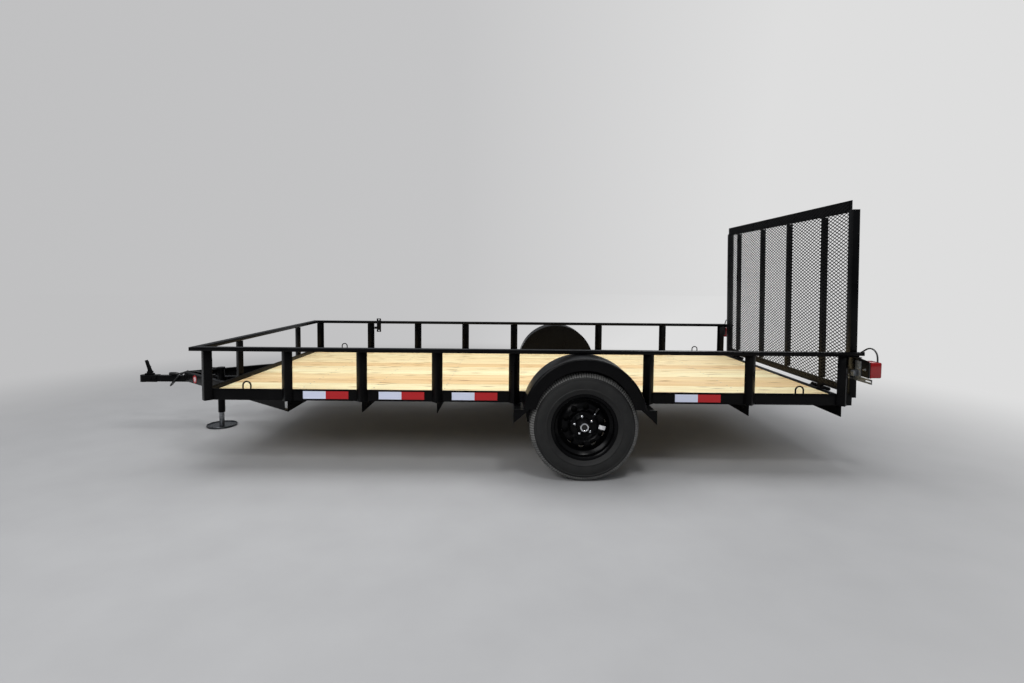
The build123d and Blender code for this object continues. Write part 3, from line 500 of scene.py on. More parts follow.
# ---------------------------------------------------------------- camera, floor and lamps
CAMERA_PLACE = Vector((0.4424, -4.6098, 1.27145))
CAMERA_YAW = -0.0033
CAMERA_PITCH = 0.0508
CAMERA_ROLL = 0.0084
LENS_PX = 545.07
PICTURE_WIDTH, PICTURE_HEIGHT = 1024, 683
CENTRE_X, CENTRE_Y = 511.66, 305.41
SENSOR = 36.0
FADE_START, FADE_END = 2.6, 6.2      # where the floor turns into the backdrop
ROOM_LOW, ROOM_HIGH = 0.16, 0.62     # how bright the room shines in gloss, at eye height and overhead
AMBIENT = 0.35
AREA_LAMPS = [           # name, place, target, size, power
    ("overhead", (0.2, 0.3, 5.2), (0.2, 0, 0), (6.5, 3.5), 255),
    ("front_soft", (-2.5, -5.5, 4.2), (0.2, 0, 0.6), (3.5, 2.5), 160),
    ("key", (1.6, -4.2, 6.0), (0.5, -0.6, 0.4), (1.2, 1.2), 90),
    ("rear_soft", (4.5, 4.5, 3.8), (0.5, 0, 0.6), (3.5, 2.5), 80),
]
BACKDROP = ((0.15, "#C0C0C1"), (0.45, "#C5C5C6"), (0.70, "#DEDEDE"))      # from -X to +X


def set_camera():
    """The camera from its place, its three angles and the picture's optical centre."""
    level = Vector((sin(CAMERA_YAW), cos(CAMERA_YAW), 0))
    right = Vector((cos(CAMERA_YAW), -sin(CAMERA_YAW), 0))
    ahead = cos(CAMERA_PITCH) * level - sin(CAMERA_PITCH) * UP
    above = sin(CAMERA_PITCH) * level + cos(CAMERA_PITCH) * UP
    across = cos(CAMERA_ROLL) * right + sin(CAMERA_ROLL) * above
    above = cos(CAMERA_ROLL) * above - sin(CAMERA_ROLL) * right
    data = bpy.data.cameras.new("main_view")
    data.sensor_width = SENSOR
    data.lens = LENS_PX / PICTURE_WIDTH * SENSOR
    data.shift_x = (PICTURE_WIDTH / 2 - CENTRE_X) / PICTURE_WIDTH
    data.shift_y = (CENTRE_Y - PICTURE_HEIGHT / 2) / PICTURE_WIDTH
    camera = bpy.data.objects.new("main_view", data)
    turn = Matrix((across, above, -ahead)).transposed().to_4x4()
    camera.matrix_world = Matrix.Translation(CAMERA_PLACE) @ turn
    bpy.context.scene.collection.objects.link(camera)
    bpy.context.scene.camera = camera


def area_lamp(name, place, target, size, power):
    """A soft white lamp that faces its target."""
    data = bpy.data.lights.new(name, "AREA")
    data.shape = "RECTANGLE"
    data.size, data.size_y = size
    data.energy = power
    lamp = bpy.data.objects.new(name, data)
    lamp.location = place
    lamp.rotation_euler = (Vector(target) - Vector(place)).to_track_quat("-Z", "Y").to_euler()
    bpy.context.scene.collection.objects.link(lamp)


def backdrop_tone(tree, direction):
    """The backdrop's grey in a direction: paler towards +X."""
    bearing = add_node(tree, "ShaderNodeVectorMath", {0: direction}, operation="NORMALIZE")
    split = add_node(tree, "ShaderNodeSeparateXYZ", {"Vector": bearing.outputs["Vector"]})
    share = add_node(
        tree, "ShaderNodeMapRange", {"Value": split.outputs["X"], "From Min": -1.0, "From Max": 1.0},
    )
    grey = add_node(tree, "ShaderNodeValToRGB", {"Fac": share.outputs["Result"]}, stops=BACKDROP)
    return grey.outputs["Color"]


def set_stage():
    """A pale floor that fades into the backdrop, and soft lamps above and beside."""
    bpy.ops.mesh.primitive_circle_add(vertices=128, radius=40, fill_type="NGON")
    floor = settle(bpy.context.object)
    floor.name = "floor"
    material, tree, shader, place = new_finish("pale_floor")
    mottle = add_node(tree, "ShaderNodeTexNoise", {"Vector": place, "Scale": 3.0, "Detail": 4.0})
    tone = add_node(
        tree, "ShaderNodeValToRGB", {"Fac": mottle.outputs["Fac"]},
        stops=((0.3, "#A2A2A3"), (0.7, "#A6A6A7")),
    )
    wire(tree, tone.outputs["Color"], shader, "Base Color")
    shader.inputs["Roughness"].default_value = 0.9
    shader.inputs["Specular IOR Level"].default_value = 0.1
    # far out, the floor takes the backdrop's own tone, so that no horizon shows
    reach = add_node(tree, "ShaderNodeVectorMath", {0: place}, operation="LENGTH")
    far = add_node(
        tree, "ShaderNodeMapRange",
        {"Value": reach.outputs["Value"], "From Min": FADE_START, "From Max": FADE_END},
        interpolation_type="SMOOTHSTEP",
    )
    glow = add_node(tree, "ShaderNodeEmission", {"Color": backdrop_tone(tree, place), "Strength": 1.0})
    fading = add_node(
        tree, "ShaderNodeMixShader",
        {"Fac": far.outputs["Result"], 1: shader.outputs["BSDF"], 2: glow.outputs["Emission"]},
    )
    tree.links.new(fading.outputs["Shader"], tree.nodes["Material Output"].inputs["Surface"])
    floor.data.materials.append(material)

    world = bpy.data.worlds.new("studio")
    bpy.context.scene.world = world
    world.use_nodes = True
    tree = world.node_tree
    tree.nodes.clear()
    path = add_node(tree, "ShaderNodeLightPath")
    seen = add_node(
        tree, "ShaderNodeMath",
        {0: path.outputs["Is Camera Ray"], 1: path.outputs["Is Transmission Ray"]},
        operation="MAXIMUM",
    )
    direction = add_node(tree, "ShaderNodeTexCoord").outputs["Generated"]
    # what shines in gloss: a dim room at eye height that brightens overhead
    split = add_node(tree, "ShaderNodeSeparateXYZ", {"Vector": direction})
    room = add_node(
        tree, "ShaderNodeMapRange",
        {
            "Value": split.outputs["Z"], "From Min": 0.0, "From Max": 0.7,
            "To Min": ROOM_LOW, "To Max": ROOM_HIGH,
        },
        interpolation_type="SMOOTHSTEP",
    )
    shine = add_node(
        tree, "ShaderNodeMapRange",
        {"Value": path.outputs["Is Glossy Ray"], "To Min": AMBIENT, "To Max": room.outputs["Result"]},
    )
    lit = add_node(
        tree, "ShaderNodeBackground", {"Color": colour("#E8ECF2"), "Strength": shine.outputs["Result"]},
    )
    shown = add_node(
        tree, "ShaderNodeBackground", {"Color": backdrop_tone(tree, direction), "Strength": 1.0},
    )
    mixed = add_node(
        tree, "ShaderNodeMixShader",
        {"Fac": seen.outputs["Value"], 1: lit.outputs["Background"], 2: shown.outputs["Background"]},
    )
    add_node(tree, "ShaderNodeOutputWorld", {"Surface": mixed.outputs["Shader"]})

    for name, place, target, size, power in AREA_LAMPS:
        area_lamp(name, place, target, size, power)


set_camera()
set_stage()
bpy.context.scene.view_settings.view_transform = "Standard"

# ---------------------------------------------------------------- sizes that the pieces share
POSTS_FROM_FRONT = (0.024, 0.552, 1.0435, 1.5395)
POSTS_FROM_REAR = (0.6755, 0.0685)
WHEEL_BAY = 0.880

rail_low, rail_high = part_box("side_rail_left")
tyre_low, tyre_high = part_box("tyre_left")
wheel = (tyre_low + tyre_high) / 2
deck_top = boards_high.z
front_x, rear_x = rail_low.x, rail_high.x
post_x = [front_x + place for place in POSTS_FROM_FRONT]
post_x += [wheel.x - WHEEL_BAY / 2, wheel.x + WHEEL_BAY / 2]
post_x += [rear_x - place for place in POSTS_FROM_REAR]

GALVANISED = zinc_plate("galvanised_steel", "#8C8F92", "#6B6E71", rough=0.42)
# zinc painted dark for the jack's foot: painted shade and a painted dark reflection of the shadowed
# floor
SHADED_ZINC = zinc_plate("painted_shade_zinc", "#5A5C5F", "#3C3E41", rough=0.24)
PLUG_RUBBER = rubber("plug_rubber", "#151515", "#1D1D1D")
WHITE_TAPE = plastic("white_reflective_tape", "#DDE3F8", rough=0.35, speckle=0.12)
RED_TAPE = plastic("red_reflective_tape", "#B80D16", rough=0.35, speckle=0.12)
WHITE_STICKER = plastic("white_vinyl", "#E4E4E6", rough=0.4, speckle=0.02)
PINK_VINYL = plastic("pink_vinyl", "#E3C6C9", rough=0.4, speckle=0.04)
BLACK_PVC = plastic("black_pvc", "#0E0E0E", rough=0.38)


# ---------------------------------------------------------------- steel with eased edges
def eased(node, width, segments=2):
    """The node's own form, with its triangles merged into faces and its sharp edges rounded."""
    obj = bpy.data.objects.new(node, frame["nodes"][node].data.copy())
    bpy.context.scene.collection.objects.link(obj)
    outward(obj)
    edit(obj)
    bpy.ops.mesh.dissolve_limited(angle_limit=radians(0.5))
    leave_edit()
    bevelled(obj, width, segments)
    return smooth(obj)


CHASSIS_STEEL = {        # node: how far its edges are rounded
    "side_rail_left": 0.0015, "side_rail_right": 0.0015, "front_rail": 0.0015, "rear_rail": 0.0015,
    "crossmembers": 0.0012, "posts_left": 0.0012, "posts_right": 0.0012, "posts_front": 0.0012,
    "top_rail_left": 0.004, "top_rail_right": 0.004, "top_rail_front": 0.004,
    "fender_braces": 0.001, "axle": 0.002, "leaf_springs": 0.001, "spring_hangers": 0.001,
    "spring_clamps": 0.001, "tongue_legs": 0.0012, "tongue_pole": 0.004, "hinge_pins": 0.0008,
    "tie_down_hoops": 0.0004, "lamp_brackets": 0.001, "spare_mount": 0.001, "gate_keepers": 0.001,
}
for node, width in CHASSIS_STEEL.items():
    piece(f"{node}_steel", eased(node, width), "chassis", BLACK, (node,))
GATE_STEEL = {"gate_frame": 0.002, "gate_bars": 0.001, "gate_hinges": 0.0008}
for node, width in GATE_STEEL.items():
    piece(f"{node}_steel", eased(node, width), "gate", BLACK, (node,))


# ---------------------------------------------------------------- expanded-metal screen
GATE_LEAN = radians(1.0)     # forwards of upright, when shut
DIAMOND = (0.0508, 0.0240)   # long way and short way
STRAND, SHEET = 0.0046, 0.0024
SHEARED_EDGE = 0.004
KNUCKLE = (0.0072, 0.0038)   # half its length and half its height


def expanded_mesh():
    """Flattened diamonds: four slanting strands and two knuckles made once, then arrayed."""
    long_way, short_way = DIAMOND
    thickness, edge = SHEET, SHEARED_EDGE
    # the sheet is made upright about its middle, and leant forwards at the end
    box_low, box_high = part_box("gate_mesh")
    middle = (box_low + box_high) / 2
    height = (box_high.z - box_low.z - thickness * sin(GATE_LEAN)) / cos(GATE_LEAN)
    half_sheet = Vector((thickness / 2, (box_high.y - box_low.y) / 2, height / 2))
    low, high = middle - half_sheet, middle + half_sheet
    across, up = high.y - low.y - 2 * edge, high.z - low.z - 2 * edge
    columns, rows = round(across / long_way), round(up / short_way)
    # the pitches are fitted so that whole diamonds fill the frame
    long_way, short_way = across / columns, up / rows
    start = Vector((
        (low.x + high.x) / 2,
        (low.y + high.y - (columns - 1) * long_way) / 2,
        (low.z + high.z - (rows - 1) * short_way) / 2,
    ))
    parts = []
    corners = [(-long_way / 2, 0), (0, short_way / 2), (long_way / 2, 0), (0, -short_way / 2)]
    slope = atan2(short_way, long_way)
    length = sqrt(long_way**2 + short_way**2) / 2
    for number, (y, z) in enumerate(corners):
        next_y, next_z = corners[(number + 1) % 4]
        middle_of_bar = start + Vector((0, (y + next_y) / 2, (z + next_z) / 2))
        bpy.ops.mesh.primitive_cube_add(size=1, location=middle_of_bar)
        bar = bpy.context.object
        bar.scale = (thickness, length, STRAND)
        slant = slope if (next_y - y) * (next_z - z) > 0 else -slope
        bar.rotation_euler = (slant, 0, 0)
        settle(bar)
        parts.append(bar)
    for y, z in (corners[0], corners[1]):
        centre = start + Vector((0, y, z))
        half = Vector((thickness * 0.55, *KNUCKLE))
        parts.append(block(centre - half, centre + half))
    screen = joined("expanded_mesh", *parts)
    modified(
        screen, "ARRAY", count=columns, use_relative_offset=False, use_constant_offset=True,
        constant_offset_displace=(0, long_way, 0),
    )
    modified(
        screen, "ARRAY", count=rows, use_relative_offset=False, use_constant_offset=True,
        constant_offset_displace=(0, 0, short_way),
    )
    # the sheet's sheared edge
    border = []
    for y in (low.y, high.y - edge):
        border.append(block((low.x, y, low.z), (high.x, y + edge, high.z)))
    for z in (low.z, high.z - edge):
        border.append(block((low.x, low.y, z), (high.x, high.y, z + edge)))
    sheet = joined("expanded_mesh", screen, *border)
    lean = Matrix.Rotation(-GATE_LEAN, 4, "Y")
    return repeated(sheet, [Matrix.Translation(middle) @ lean @ Matrix.Translation(-middle)])


piece("gate_screen", expanded_mesh(), "gate", BLACK, ("gate_mesh",))


# ---------------------------------------------------------------- wheels
def wheel_point(radius, across, angle=0.0):
    """A place in the left wheel: radius, outboard from the tyre's middle, angle up from +X; in mm."""
    return Vector((
        wheel.x + radius * MM * cos(angle), wheel.y - across * MM, wheel.z + radius * MM * sin(angle),
    ))


def wheel_lathe(outline, steps=144):
    """A closed outline of (radius, across) spun about the left wheel's axis."""
    places = [wheel_point(max(radius, 0.01), across) for radius, across in outline]
    return turned(places + places[:1], wheel, (0, 1, 0), steps)


def around_wheel(count, start=0.0):
    """Turns about the wheel's axis, evenly spaced."""
    for number in range(count):
        turn = Matrix.Rotation(-(start + 2 * pi * number / count), 4, "Y")
        yield Matrix.Translation(wheel) @ turn @ Matrix.Translation(-wheel)


TYRE_SIDE = [            # bead to tread edge
    (192, 71), (207, 79), (210.5, 87), (221, 92.5), (234, 97.5), (237, 100), (242, 100.4), (245, 98.8),
    (262, 101.8), (276, 102.4), (288, 101), (299, 98), (301.5, 99.4), (305.5, 98.4), (307, 95.6),
    (315, 91), (322, 85), (329, 77), (334.5, 68),
]
TYRE_TREAD = [           # tread edge to the middle, with two grooves
    (337, 61), (334.5, 59.5), (334.5, 52.5), (342.3, 51), (343.4, 23), (336.5, 21.5), (336.5, 14.5),
    (343.9, 13),
]
BLOCK_SECTION = [        # a shoulder block, from the sidewall over the tread's edge
    (314, 89), (316, 92.6), (323, 89.3), (331, 82.6), (337.5, 73.5), (341.6, 62), (333, 60.5), (326, 76),
]
BLOCK_COUNT = 132
BLOCK_WIDTH = 0.0115


def tyre():
    """The carcass, and the blocks of both shoulders."""
    half = TYRE_SIDE + TYRE_TREAD
    outline = half + [(radius, -across) for radius, across in reversed(half)]
    carcass = smooth(wheel_lathe(outline), 32)
    outer = [wheel_point(radius, across) - UP * BLOCK_WIDTH / 2 for radius, across in BLOCK_SECTION]
    master = pulled(outer, UP * BLOCK_WIDTH, 0.001)
    inner = [place + Vector((0, 2 * (wheel.y - place.y), 0)) for place in outer]
    other = pulled(inner, UP * BLOCK_WIDTH, 0.001)
    blocks = repeated(master, list(around_wheel(BLOCK_COUNT)))
    others = repeated(other, list(around_wheel(BLOCK_COUNT, pi / BLOCK_COUNT)))
    return carcass, joined("tread_blocks", blocks, others)


BARREL = [               # from the outboard lip through the well to the inboard lip, and back inside
    (205, 87), (208, 86.4), (208.6, 84.2), (206, 82.4), (198, 79.6), (192.6, 76), (190, 72), (189, 60),
    (188.6, 44), (180, 37), (169, 31), (167, 27), (167, -14), (169, -18), (184, -30), (189, -38),
    (189, -60), (190, -72), (192.6, -76), (198, -79.6), (206, -82.4), (208.6, -84.2), (208, -86.4),
    (205, -87), (202, -85.6), (195, -83), (188.6, -79), (186.4, -73), (185.6, -60), (185.6, -40),
    (182, -34), (166, -21), (163.6, -15), (163.6, 28), (165.4, 32.6), (178, 40.4), (185.2, 47),
    (185.8, 60), (186.6, 72), (189, 79), (195, 83.2), (202, 85.8),
]
DISC_OFFSET = 20         # bolt pad outboard of the tyre's middle
DISC_FACE = [            # outboard of the bolt pad
    (163.8, 3), (158, 4.6), (150, 8.4), (139, 15), (128, 20.6), (118, 23.6), (109.5, 24.2), (103, 21.6),
    (95, 14), (87, 6.4), (81, 2), (75, 0), (42.6, 0),
]
DISC_BACK = [
    (42.6, -6), (77, -6), (84, -3.4), (92, 3.4), (100, 11), (106.4, 16.6), (110.5, 18.2), (117, 17.6),
    (126, 14.8), (137, 9), (148, 2.6), (156, -1), (159, -3), (159, -13), (163.8, -13),
]
HAND_HOLES, HAND_HOLE_RING, HAND_HOLE_RADIUS, HAND_HOLE_START = 10, 121, 20, radians(12)
LUG_COUNT, LUG_RING, LUG_START = 5, 57.15, radians(100)
VALVE_ANGLE = radians(49)
STICKER_PLACE, STICKER_ANGLE, STICKER_TURN = 118, radians(-6), radians(16)
STICKER_SIZE = (0.042, 0.025)


def rim():
    barrel = wheel_lathe(BARREL)
    disc = wheel_lathe([(radius, DISC_OFFSET + across) for radius, across in DISC_FACE + DISC_BACK])
    cutter = rod(
        wheel_point(HAND_HOLE_RING, -5), wheel_point(HAND_HOLE_RING, 80), HAND_HOLE_RADIUS * MM, 40,
    )
    repeated(cutter, list(around_wheel(HAND_HOLES, HAND_HOLE_START)))
    modified(disc, "BOOLEAN", object=cutter, operation="DIFFERENCE", solver="EXACT")
    bpy.data.objects.remove(cutter)
    bevelled(disc, 0.0016, 2, 50)
    return joined("rim", smooth(barrel, 35), smooth(disc, 35))


HUB = [                  # barrel and flange, from the brake side outboard
    (22.4, -70), (38, -70), (40, -60), (40, -4), (72, -2), (72, 13.8), (42, 13.8), (42, 27), (39, 32),
    (29, 36), (22.4, 36),
]
# a dark drum behind the hand holes, put there so that they show as deep shade; its size is a guess
DRUM = [(60, -2), (60, 8), (133, 8), (138, 4), (138, -46), (132, -46), (132, -2)]
CAP = [                  # grease cap, and the rubber plug in its end
    (28.4, 35), (29, 37), (29, 80), (28.4, 85), (26.4, 88.6), (23.6, 90), (20, 90), (18.6, 88.8),
    (18, 84.6), (0, 84.4), (0, 82), (22.4, 82), (22.4, 35),
]
PLUG = [
    (0, 84), (17.6, 84), (17.6, 87), (15.6, 88.4), (13.8, 87), (13, 85.6), (6, 85.8), (5, 87.6), (0, 88),
]


def lug_nuts():
    """Acorn nuts: a hexagon with a domed end."""
    foot, shoulder = wheel_point(LUG_RING, DISC_OFFSET), wheel_point(LUG_RING, DISC_OFFSET + 15)
    nut = rod(foot, shoulder, 0.0105, 6, 0.0009)
    dome = [(9.3, 14.6), (9.3, 16.4), (8.6, 19), (6.8, 21.6), (3.8, 23.4), (0.01, 24), (0.01, 14.6)]
    places = [foot + Vector((radius * MM, -across * MM, 0)) for radius, across in dome]
    cap = smooth(turned(places + places[:1], foot, (0, 1, 0), 24), 40)
    nuts = joined("lug_nuts", nut, cap)
    return repeated(nuts, list(around_wheel(LUG_COUNT, LUG_START)))


def valve():
    """Snap-in stem with its bright cap, reaching out through a hand hole."""
    root, neck, tip = [
        wheel_point(radius, across, VALVE_ANGLE) for radius, across in ((150, 22), (111, 50), (97, 60))
    ]
    stem = rod(root, neck, 0.0048, 20, 0.001)
    cap = rod(neck, tip, 0.0046, 20, 0.0012)
    return stem, cap


def wheel_sticker(disc):
    """Blank oblong pressed onto the disc between two hand holes."""
    middle = wheel_point(STICKER_PLACE, 70, STICKER_ANGLE)
    bpy.ops.mesh.primitive_grid_add(x_subdivisions=16, y_subdivisions=10, size=1, location=middle)
    sticker = bpy.context.object
    sticker.scale = (*STICKER_SIZE, 1)
    sticker.rotation_euler = (pi / 2, STICKER_TURN, 0)
    settle(sticker)
    modified(
        sticker, "SHRINKWRAP", target=disc, wrap_method="PROJECT", use_project_y=True,
        use_positive_direction=True, use_negative_direction=True, offset=0.0003,
    )
    return smooth(sticker, 60)


def both_wheels(name, obj, material, node=None):
    """The left wheel's piece and its mirrored twin."""
    for side, copy in (("right", mirrored(obj)), ("left", obj)):
        nodes = (f"{node}_{side}",) if node else ()
        piece(f"{name}_{side}", copy, f"wheel_{side}", material, nodes)


carcass, tread_blocks = tyre()
both_wheels("tyre_carcass", carcass, TYRE, "tyre")
# the shoulder blocks take the tread rubber that is painted pale as a highlight
both_wheels("tread_blocks", tread_blocks, TREAD)
steel_wheel = rim()
both_wheels("wheel_sticker", wheel_sticker(steel_wheel), WHITE_STICKER)
both_wheels("steel_wheel", steel_wheel, WHEEL_BLACK, "rim")
both_wheels("hub_body", smooth(wheel_lathe(HUB, 72), 32), BLACK, "hub")
both_wheels("hole_darkening_drum", smooth(wheel_lathe(DRUM, 96), 32), BLACK)
both_wheels("grease_cap", smooth(wheel_lathe(CAP, 72), 32), CHROME)
both_wheels("grease_plug", smooth(wheel_lathe(PLUG, 48), 40), PLUG_RUBBER)
both_wheels("lug_nuts", lug_nuts(), CHROME)
stem, cap = valve()
both_wheels("valve_stem", stem, PLUG_RUBBER)
both_wheels("valve_cap", cap, CHROME)


# ---------------------------------------------------------------- fenders
SKIRT = 0.0765           # arch to the skirt's inner edge
ARCH_LIFT = 0.0465       # the arch's centre above the wheel's
BACK_PLATE = 0.10        # inner radius of the plate that closes the arch's back
FENDER_SHEET, FENDER_CORNER = 0.003, 0.016


def fender():
    """Rolled top, pressed skirt with a rounded outer corner, and an inner plate."""
    low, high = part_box("fender_left")
    sheet, corner = FENDER_SHEET, FENDER_CORNER
    radius = high.z - wheel.z - ARCH_LIFT
    centre = Vector((wheel.x, high.y, wheel.z + ARCH_LIFT))
    inner_y, outer_y = high.y - sheet / 2, low.y + sheet / 2
    crown = radius - sheet / 2
    line = [(BACK_PLATE, inner_y), (crown - 0.004, inner_y), (crown, inner_y - 0.004)]
    for step in range(9):
        bend = pi / 2 * step / 8
        line.append((crown - corner * (1 - cos(bend)), outer_y + corner * (1 - sin(bend))))
    line.append((radius - SKIRT, outer_y))
    places = [Vector((centre.x + r, y, centre.z)) for r, y in line]
    shell = drawn(places)
    edit(shell)
    bpy.ops.mesh.spin(steps=72, angle=pi, center=centre, axis=(0, 1, 0))
    bpy.ops.mesh.select_all(action="SELECT")
    bpy.ops.mesh.bisect(plane_co=(0, 0, low.z), plane_no=(0, 0, 1), clear_inner=True)
    leave_edit()
    outward(shell)
    modified(shell, "SOLIDIFY", thickness=sheet, offset=0.0)
    bevelled(shell, 0.0008, 1, 60)
    return smooth(shell, 35)


left_fender = fender()
piece("fender_skin_right", mirrored(left_fender), "chassis", BLACK, ("fender_right",))
piece("fender_skin_left", left_fender, "chassis", BLACK, ("fender_left",))


# ---------------------------------------------------------------- deck
BOARD_EASING = 0.0025
SCREW_FROM_EDGE = 0.035
SCREW_FROM_POST = 0.02
SCREW_HEAD, SCREW_SOCKET = 0.0055, 0.002     # radii


def deck():
    """Square-planed boards with eased edges."""
    boards = []
    for row in range(BOARD_COUNT):
        y = boards_low.y + row * board_pitch
        far_corner = (boards_high.x, y + board_pitch - BOARD_GAP, deck_top)
        boards.append(block((boards_low.x, y, boards_low.z), far_corner, BOARD_EASING))
    return joined("deck", *boards)


def deck_screws():
    """Countersunk heads, two to a board at each cross-member."""
    first = Vector((post_x[1] + SCREW_FROM_POST, boards_low.y + SCREW_FROM_EDGE, deck_top))
    head = rod(first - UP * 0.003, first + UP * 0.0004, SCREW_HEAD, 12)
    socket = rod(first, first + UP * 0.0007, SCREW_SOCKET, 6)
    screw = joined("deck_screws", head, socket)
    places = []
    for x in post_x[1:]:
        for row in range(BOARD_COUNT):
            for inset in (SCREW_FROM_EDGE, board_pitch - BOARD_GAP - SCREW_FROM_EDGE):
                y = boards_low.y + row * board_pitch + inset
                place = Vector((x + SCREW_FROM_POST, y, deck_top))
                places.append(Matrix.Translation(place - first))
    return repeated(screw, places)


piece("deck", deck(), "chassis", FINISHES["pine_boards"], ("deck_boards",))
piece("deck_screws", deck_screws(), "chassis", GALVANISED)


# ---------------------------------------------------------------- lamps and rear fittings
HOUSING_DEPTH = 0.011
LIP_STAND, LIP_DEPTH = 0.0012, 0.005
STUD_INSET, STUD_LENGTH = 0.025, 0.022


def tail_lamp():
    """Black housing and a red lens with a lip between them, on two studs."""
    low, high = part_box("tail_lamp_left")
    seam = low.x + HOUSING_DEPTH
    housing = block((low.x, low.y + 0.001, low.z), (seam, high.y - 0.001, high.z), 0.004, 3)
    lens = block((seam - 0.004, low.y, low.z + 0.001), (high.x, high.y, high.z - 0.001), 0.009, 4)
    lip = block(
        (seam, low.y - LIP_STAND, low.z - 0.0002),
        (seam + LIP_DEPTH, high.y + LIP_STAND, high.z + 0.0002), 0.0018,
    )
    studs = []
    back = Vector((-1, 0, 0))
    for y in (low.y + STUD_INSET, high.y - STUD_INSET):
        mid = Vector((low.x, y, (low.z + high.z) / 2))
        studs.append(rod(mid + back * STUD_LENGTH, mid, 0.004, 16))
        studs.append(rod(mid + back * 0.011, mid + back * 0.005, 0.0085, 6, 0.0008))
    return housing, joined("lens", lens, lip), joined("studs", *studs)


housing, lens, studs = tail_lamp()
for side, make in (("right", mirrored), ("left", lambda obj: obj)):
    piece(f"lamp_housing_{side}", make(housing), "chassis", LAMP_BLACK)
    piece(f"lamp_lens_{side}", make(lens), "chassis", RED_LENS, (f"tail_lamp_{side}",))
    piece(f"lamp_studs_{side}", make(studs), "chassis", ZINC)

piece(
    "number_plate_strip", eased("number_plate_bar", 0.0006), "chassis", GALVANISED,
    ("number_plate_bar",),
)
piece(
    "number_plate_bracket", eased("number_lamp", 0.0015), "chassis", GALVANISED,
    ("number_lamp",),
)


# ---------------------------------------------------------------- reflective tape
TAPE_STARTS = (-0.941, -0.441, 0.041, 1.511)
TAPE_LENGTH, TAPE_HEIGHT, TAPE_SHEET = 0.300, 0.0508, 0.0003


def tapes(first_half):
    """Blank two-colour strips on the side rail; the front half of each is white and the rest red."""
    middle = (rail_low.z + rail_high.z) / 2
    strips = []
    for start in TAPE_STARTS:
        x = start if first_half else start + TAPE_LENGTH / 2
        strips.append(block(
            (x, rail_low.y - TAPE_SHEET, middle - TAPE_HEIGHT / 2),
            (x + TAPE_LENGTH / 2, rail_low.y, middle + TAPE_HEIGHT / 2),
        ))
    return joined("tape", *strips)


for name, first_half, material in (("white", True, WHITE_TAPE), ("red", False, RED_TAPE)):
    strip = tapes(first_half)
    piece(f"tape_{name}_right", mirrored(strip), "chassis", material)
    piece(f"tape_{name}_left", strip, "chassis", material)


# ---------------------------------------------------------------- leads
TOW_ROUTE = [            # mm from the apex of the tongue, across and up from the pole's middle
    (247, 0, 31.5), (207, 1, 34), (165, 2, 42), (122, 0, 53), (76, -4, 62), (32, -10, 63), (-8, -17, 57),
    (-40, -38, 32), (-70, -49, -6), (-106, -41, -44), (-134, -8, -68), (-142, 33, -61), (-130, 64, -32),
    (-100, 77, 4), (-67, 78, 33), (-37, 76, 50), (-14, 54, 57), (-13, 22, 55), (-35, -1, 47),
    (-66, 0, 39.5),
]
LAMP_ROUTE = [           # mm from the lamp's top: back, inboard and up
    (0, 0, 0), (0, 0, 27), (1, 12, 54), (-1, 35, 74), (-4, 66, 80), (-7, 97, 71), (-12, 120, 54),
    (-24, 134, 40), (-42, 138, 32), (-60, 137.5, 29.5),
]
LEAD_RADIUS = 0.005
CLIP_LENGTH, CLIP_HALF_WIDTH, CLIP_HEIGHT = 0.016, 0.012, 0.013
PLUG_LENGTH, PLUG_RADIUS = 0.074, 0.014
COLLAR_RADIUS, MOUTH_RADIUS, MOUTH_DEPTH = 0.0128, 0.0105, 0.012


def tow_lead():
    """The lead with its clip on the pole, and the plug that lies on the pole."""
    pole_low, pole_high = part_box("tongue_pole")
    legs_low, legs_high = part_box("tongue_legs")
    origin = Vector((legs_low.x, 0, (pole_low.z + pole_high.z) / 2))
    route = [origin + Vector(point) * MM for point in TOW_ROUTE]
    lead = cable(route, LEAD_RADIUS)
    clip_x, top = route[0].x, pole_high.z
    clip = block(
        (clip_x - CLIP_LENGTH, -CLIP_HALF_WIDTH, top),
        (clip_x, CLIP_HALF_WIDTH, top + CLIP_HEIGHT), 0.004, 3,
    )
    end = Vector((route[-1].x, route[-1].y, top + PLUG_RADIUS))
    shell = [            # radius and place along X, from the lead's end to the mouth and back
        (0.006, 0.004), (0.0095, 0), (MOUTH_RADIUS, -0.010), (COLLAR_RADIUS, -0.014),
        (PLUG_RADIUS, -0.020), (PLUG_RADIUS, -0.060), (COLLAR_RADIUS, -0.062),
        (COLLAR_RADIUS, -PLUG_LENGTH), (MOUTH_RADIUS, -PLUG_LENGTH),
        (MOUTH_RADIUS, -PLUG_LENGTH + MOUTH_DEPTH),
        (0.0001, -PLUG_LENGTH + MOUTH_DEPTH), (0.0001, 0.004),
    ]
    places = [end + Vector((along, 0, radius)) for radius, along in shell]
    plug = smooth(turned(places + places[:1], end, (1, 0, 0), 40), 35)
    return joined("tow_lead", lead, clip), plug


def lamp_lead():
    """From the left lamp's top over its bracket into the end of the top rail."""
    low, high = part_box("tail_lamp_left")
    start = Vector((high.x - 0.020, low.y + 0.016, high.z))
    return cable([start + Vector((x, y, z)) * MM for x, y, z in LAMP_ROUTE], LEAD_RADIUS)


lead, plug = tow_lead()
piece("tow_lead_pvc", lead, "chassis", BLACK_PVC, ("tow_lead",))
piece("tow_plug", plug, "chassis", BLACK_PVC)
left_lead = lamp_lead()
piece(
    "lamp_leads_pvc", joined("leads", mirrored(left_lead), left_lead), "chassis",
    BLACK_PVC, ("lamp_leads",),
)


# ---------------------------------------------------------------- jack and coupler
piece("coupler_steel", eased("coupler", 0.004, 3), "chassis", BLACK, ("coupler",))


WASHER = 0.0018
PIVOT_FROM_NOSE, PIVOT_RISE = 0.078, 0.020
EAR_Y = 0.017
POLE_BOLTS = (0.100, 0.132)          # along X from the coupler's nose
COUPLER_SIDE = 0.0053                # the bolts' seats outside the pole


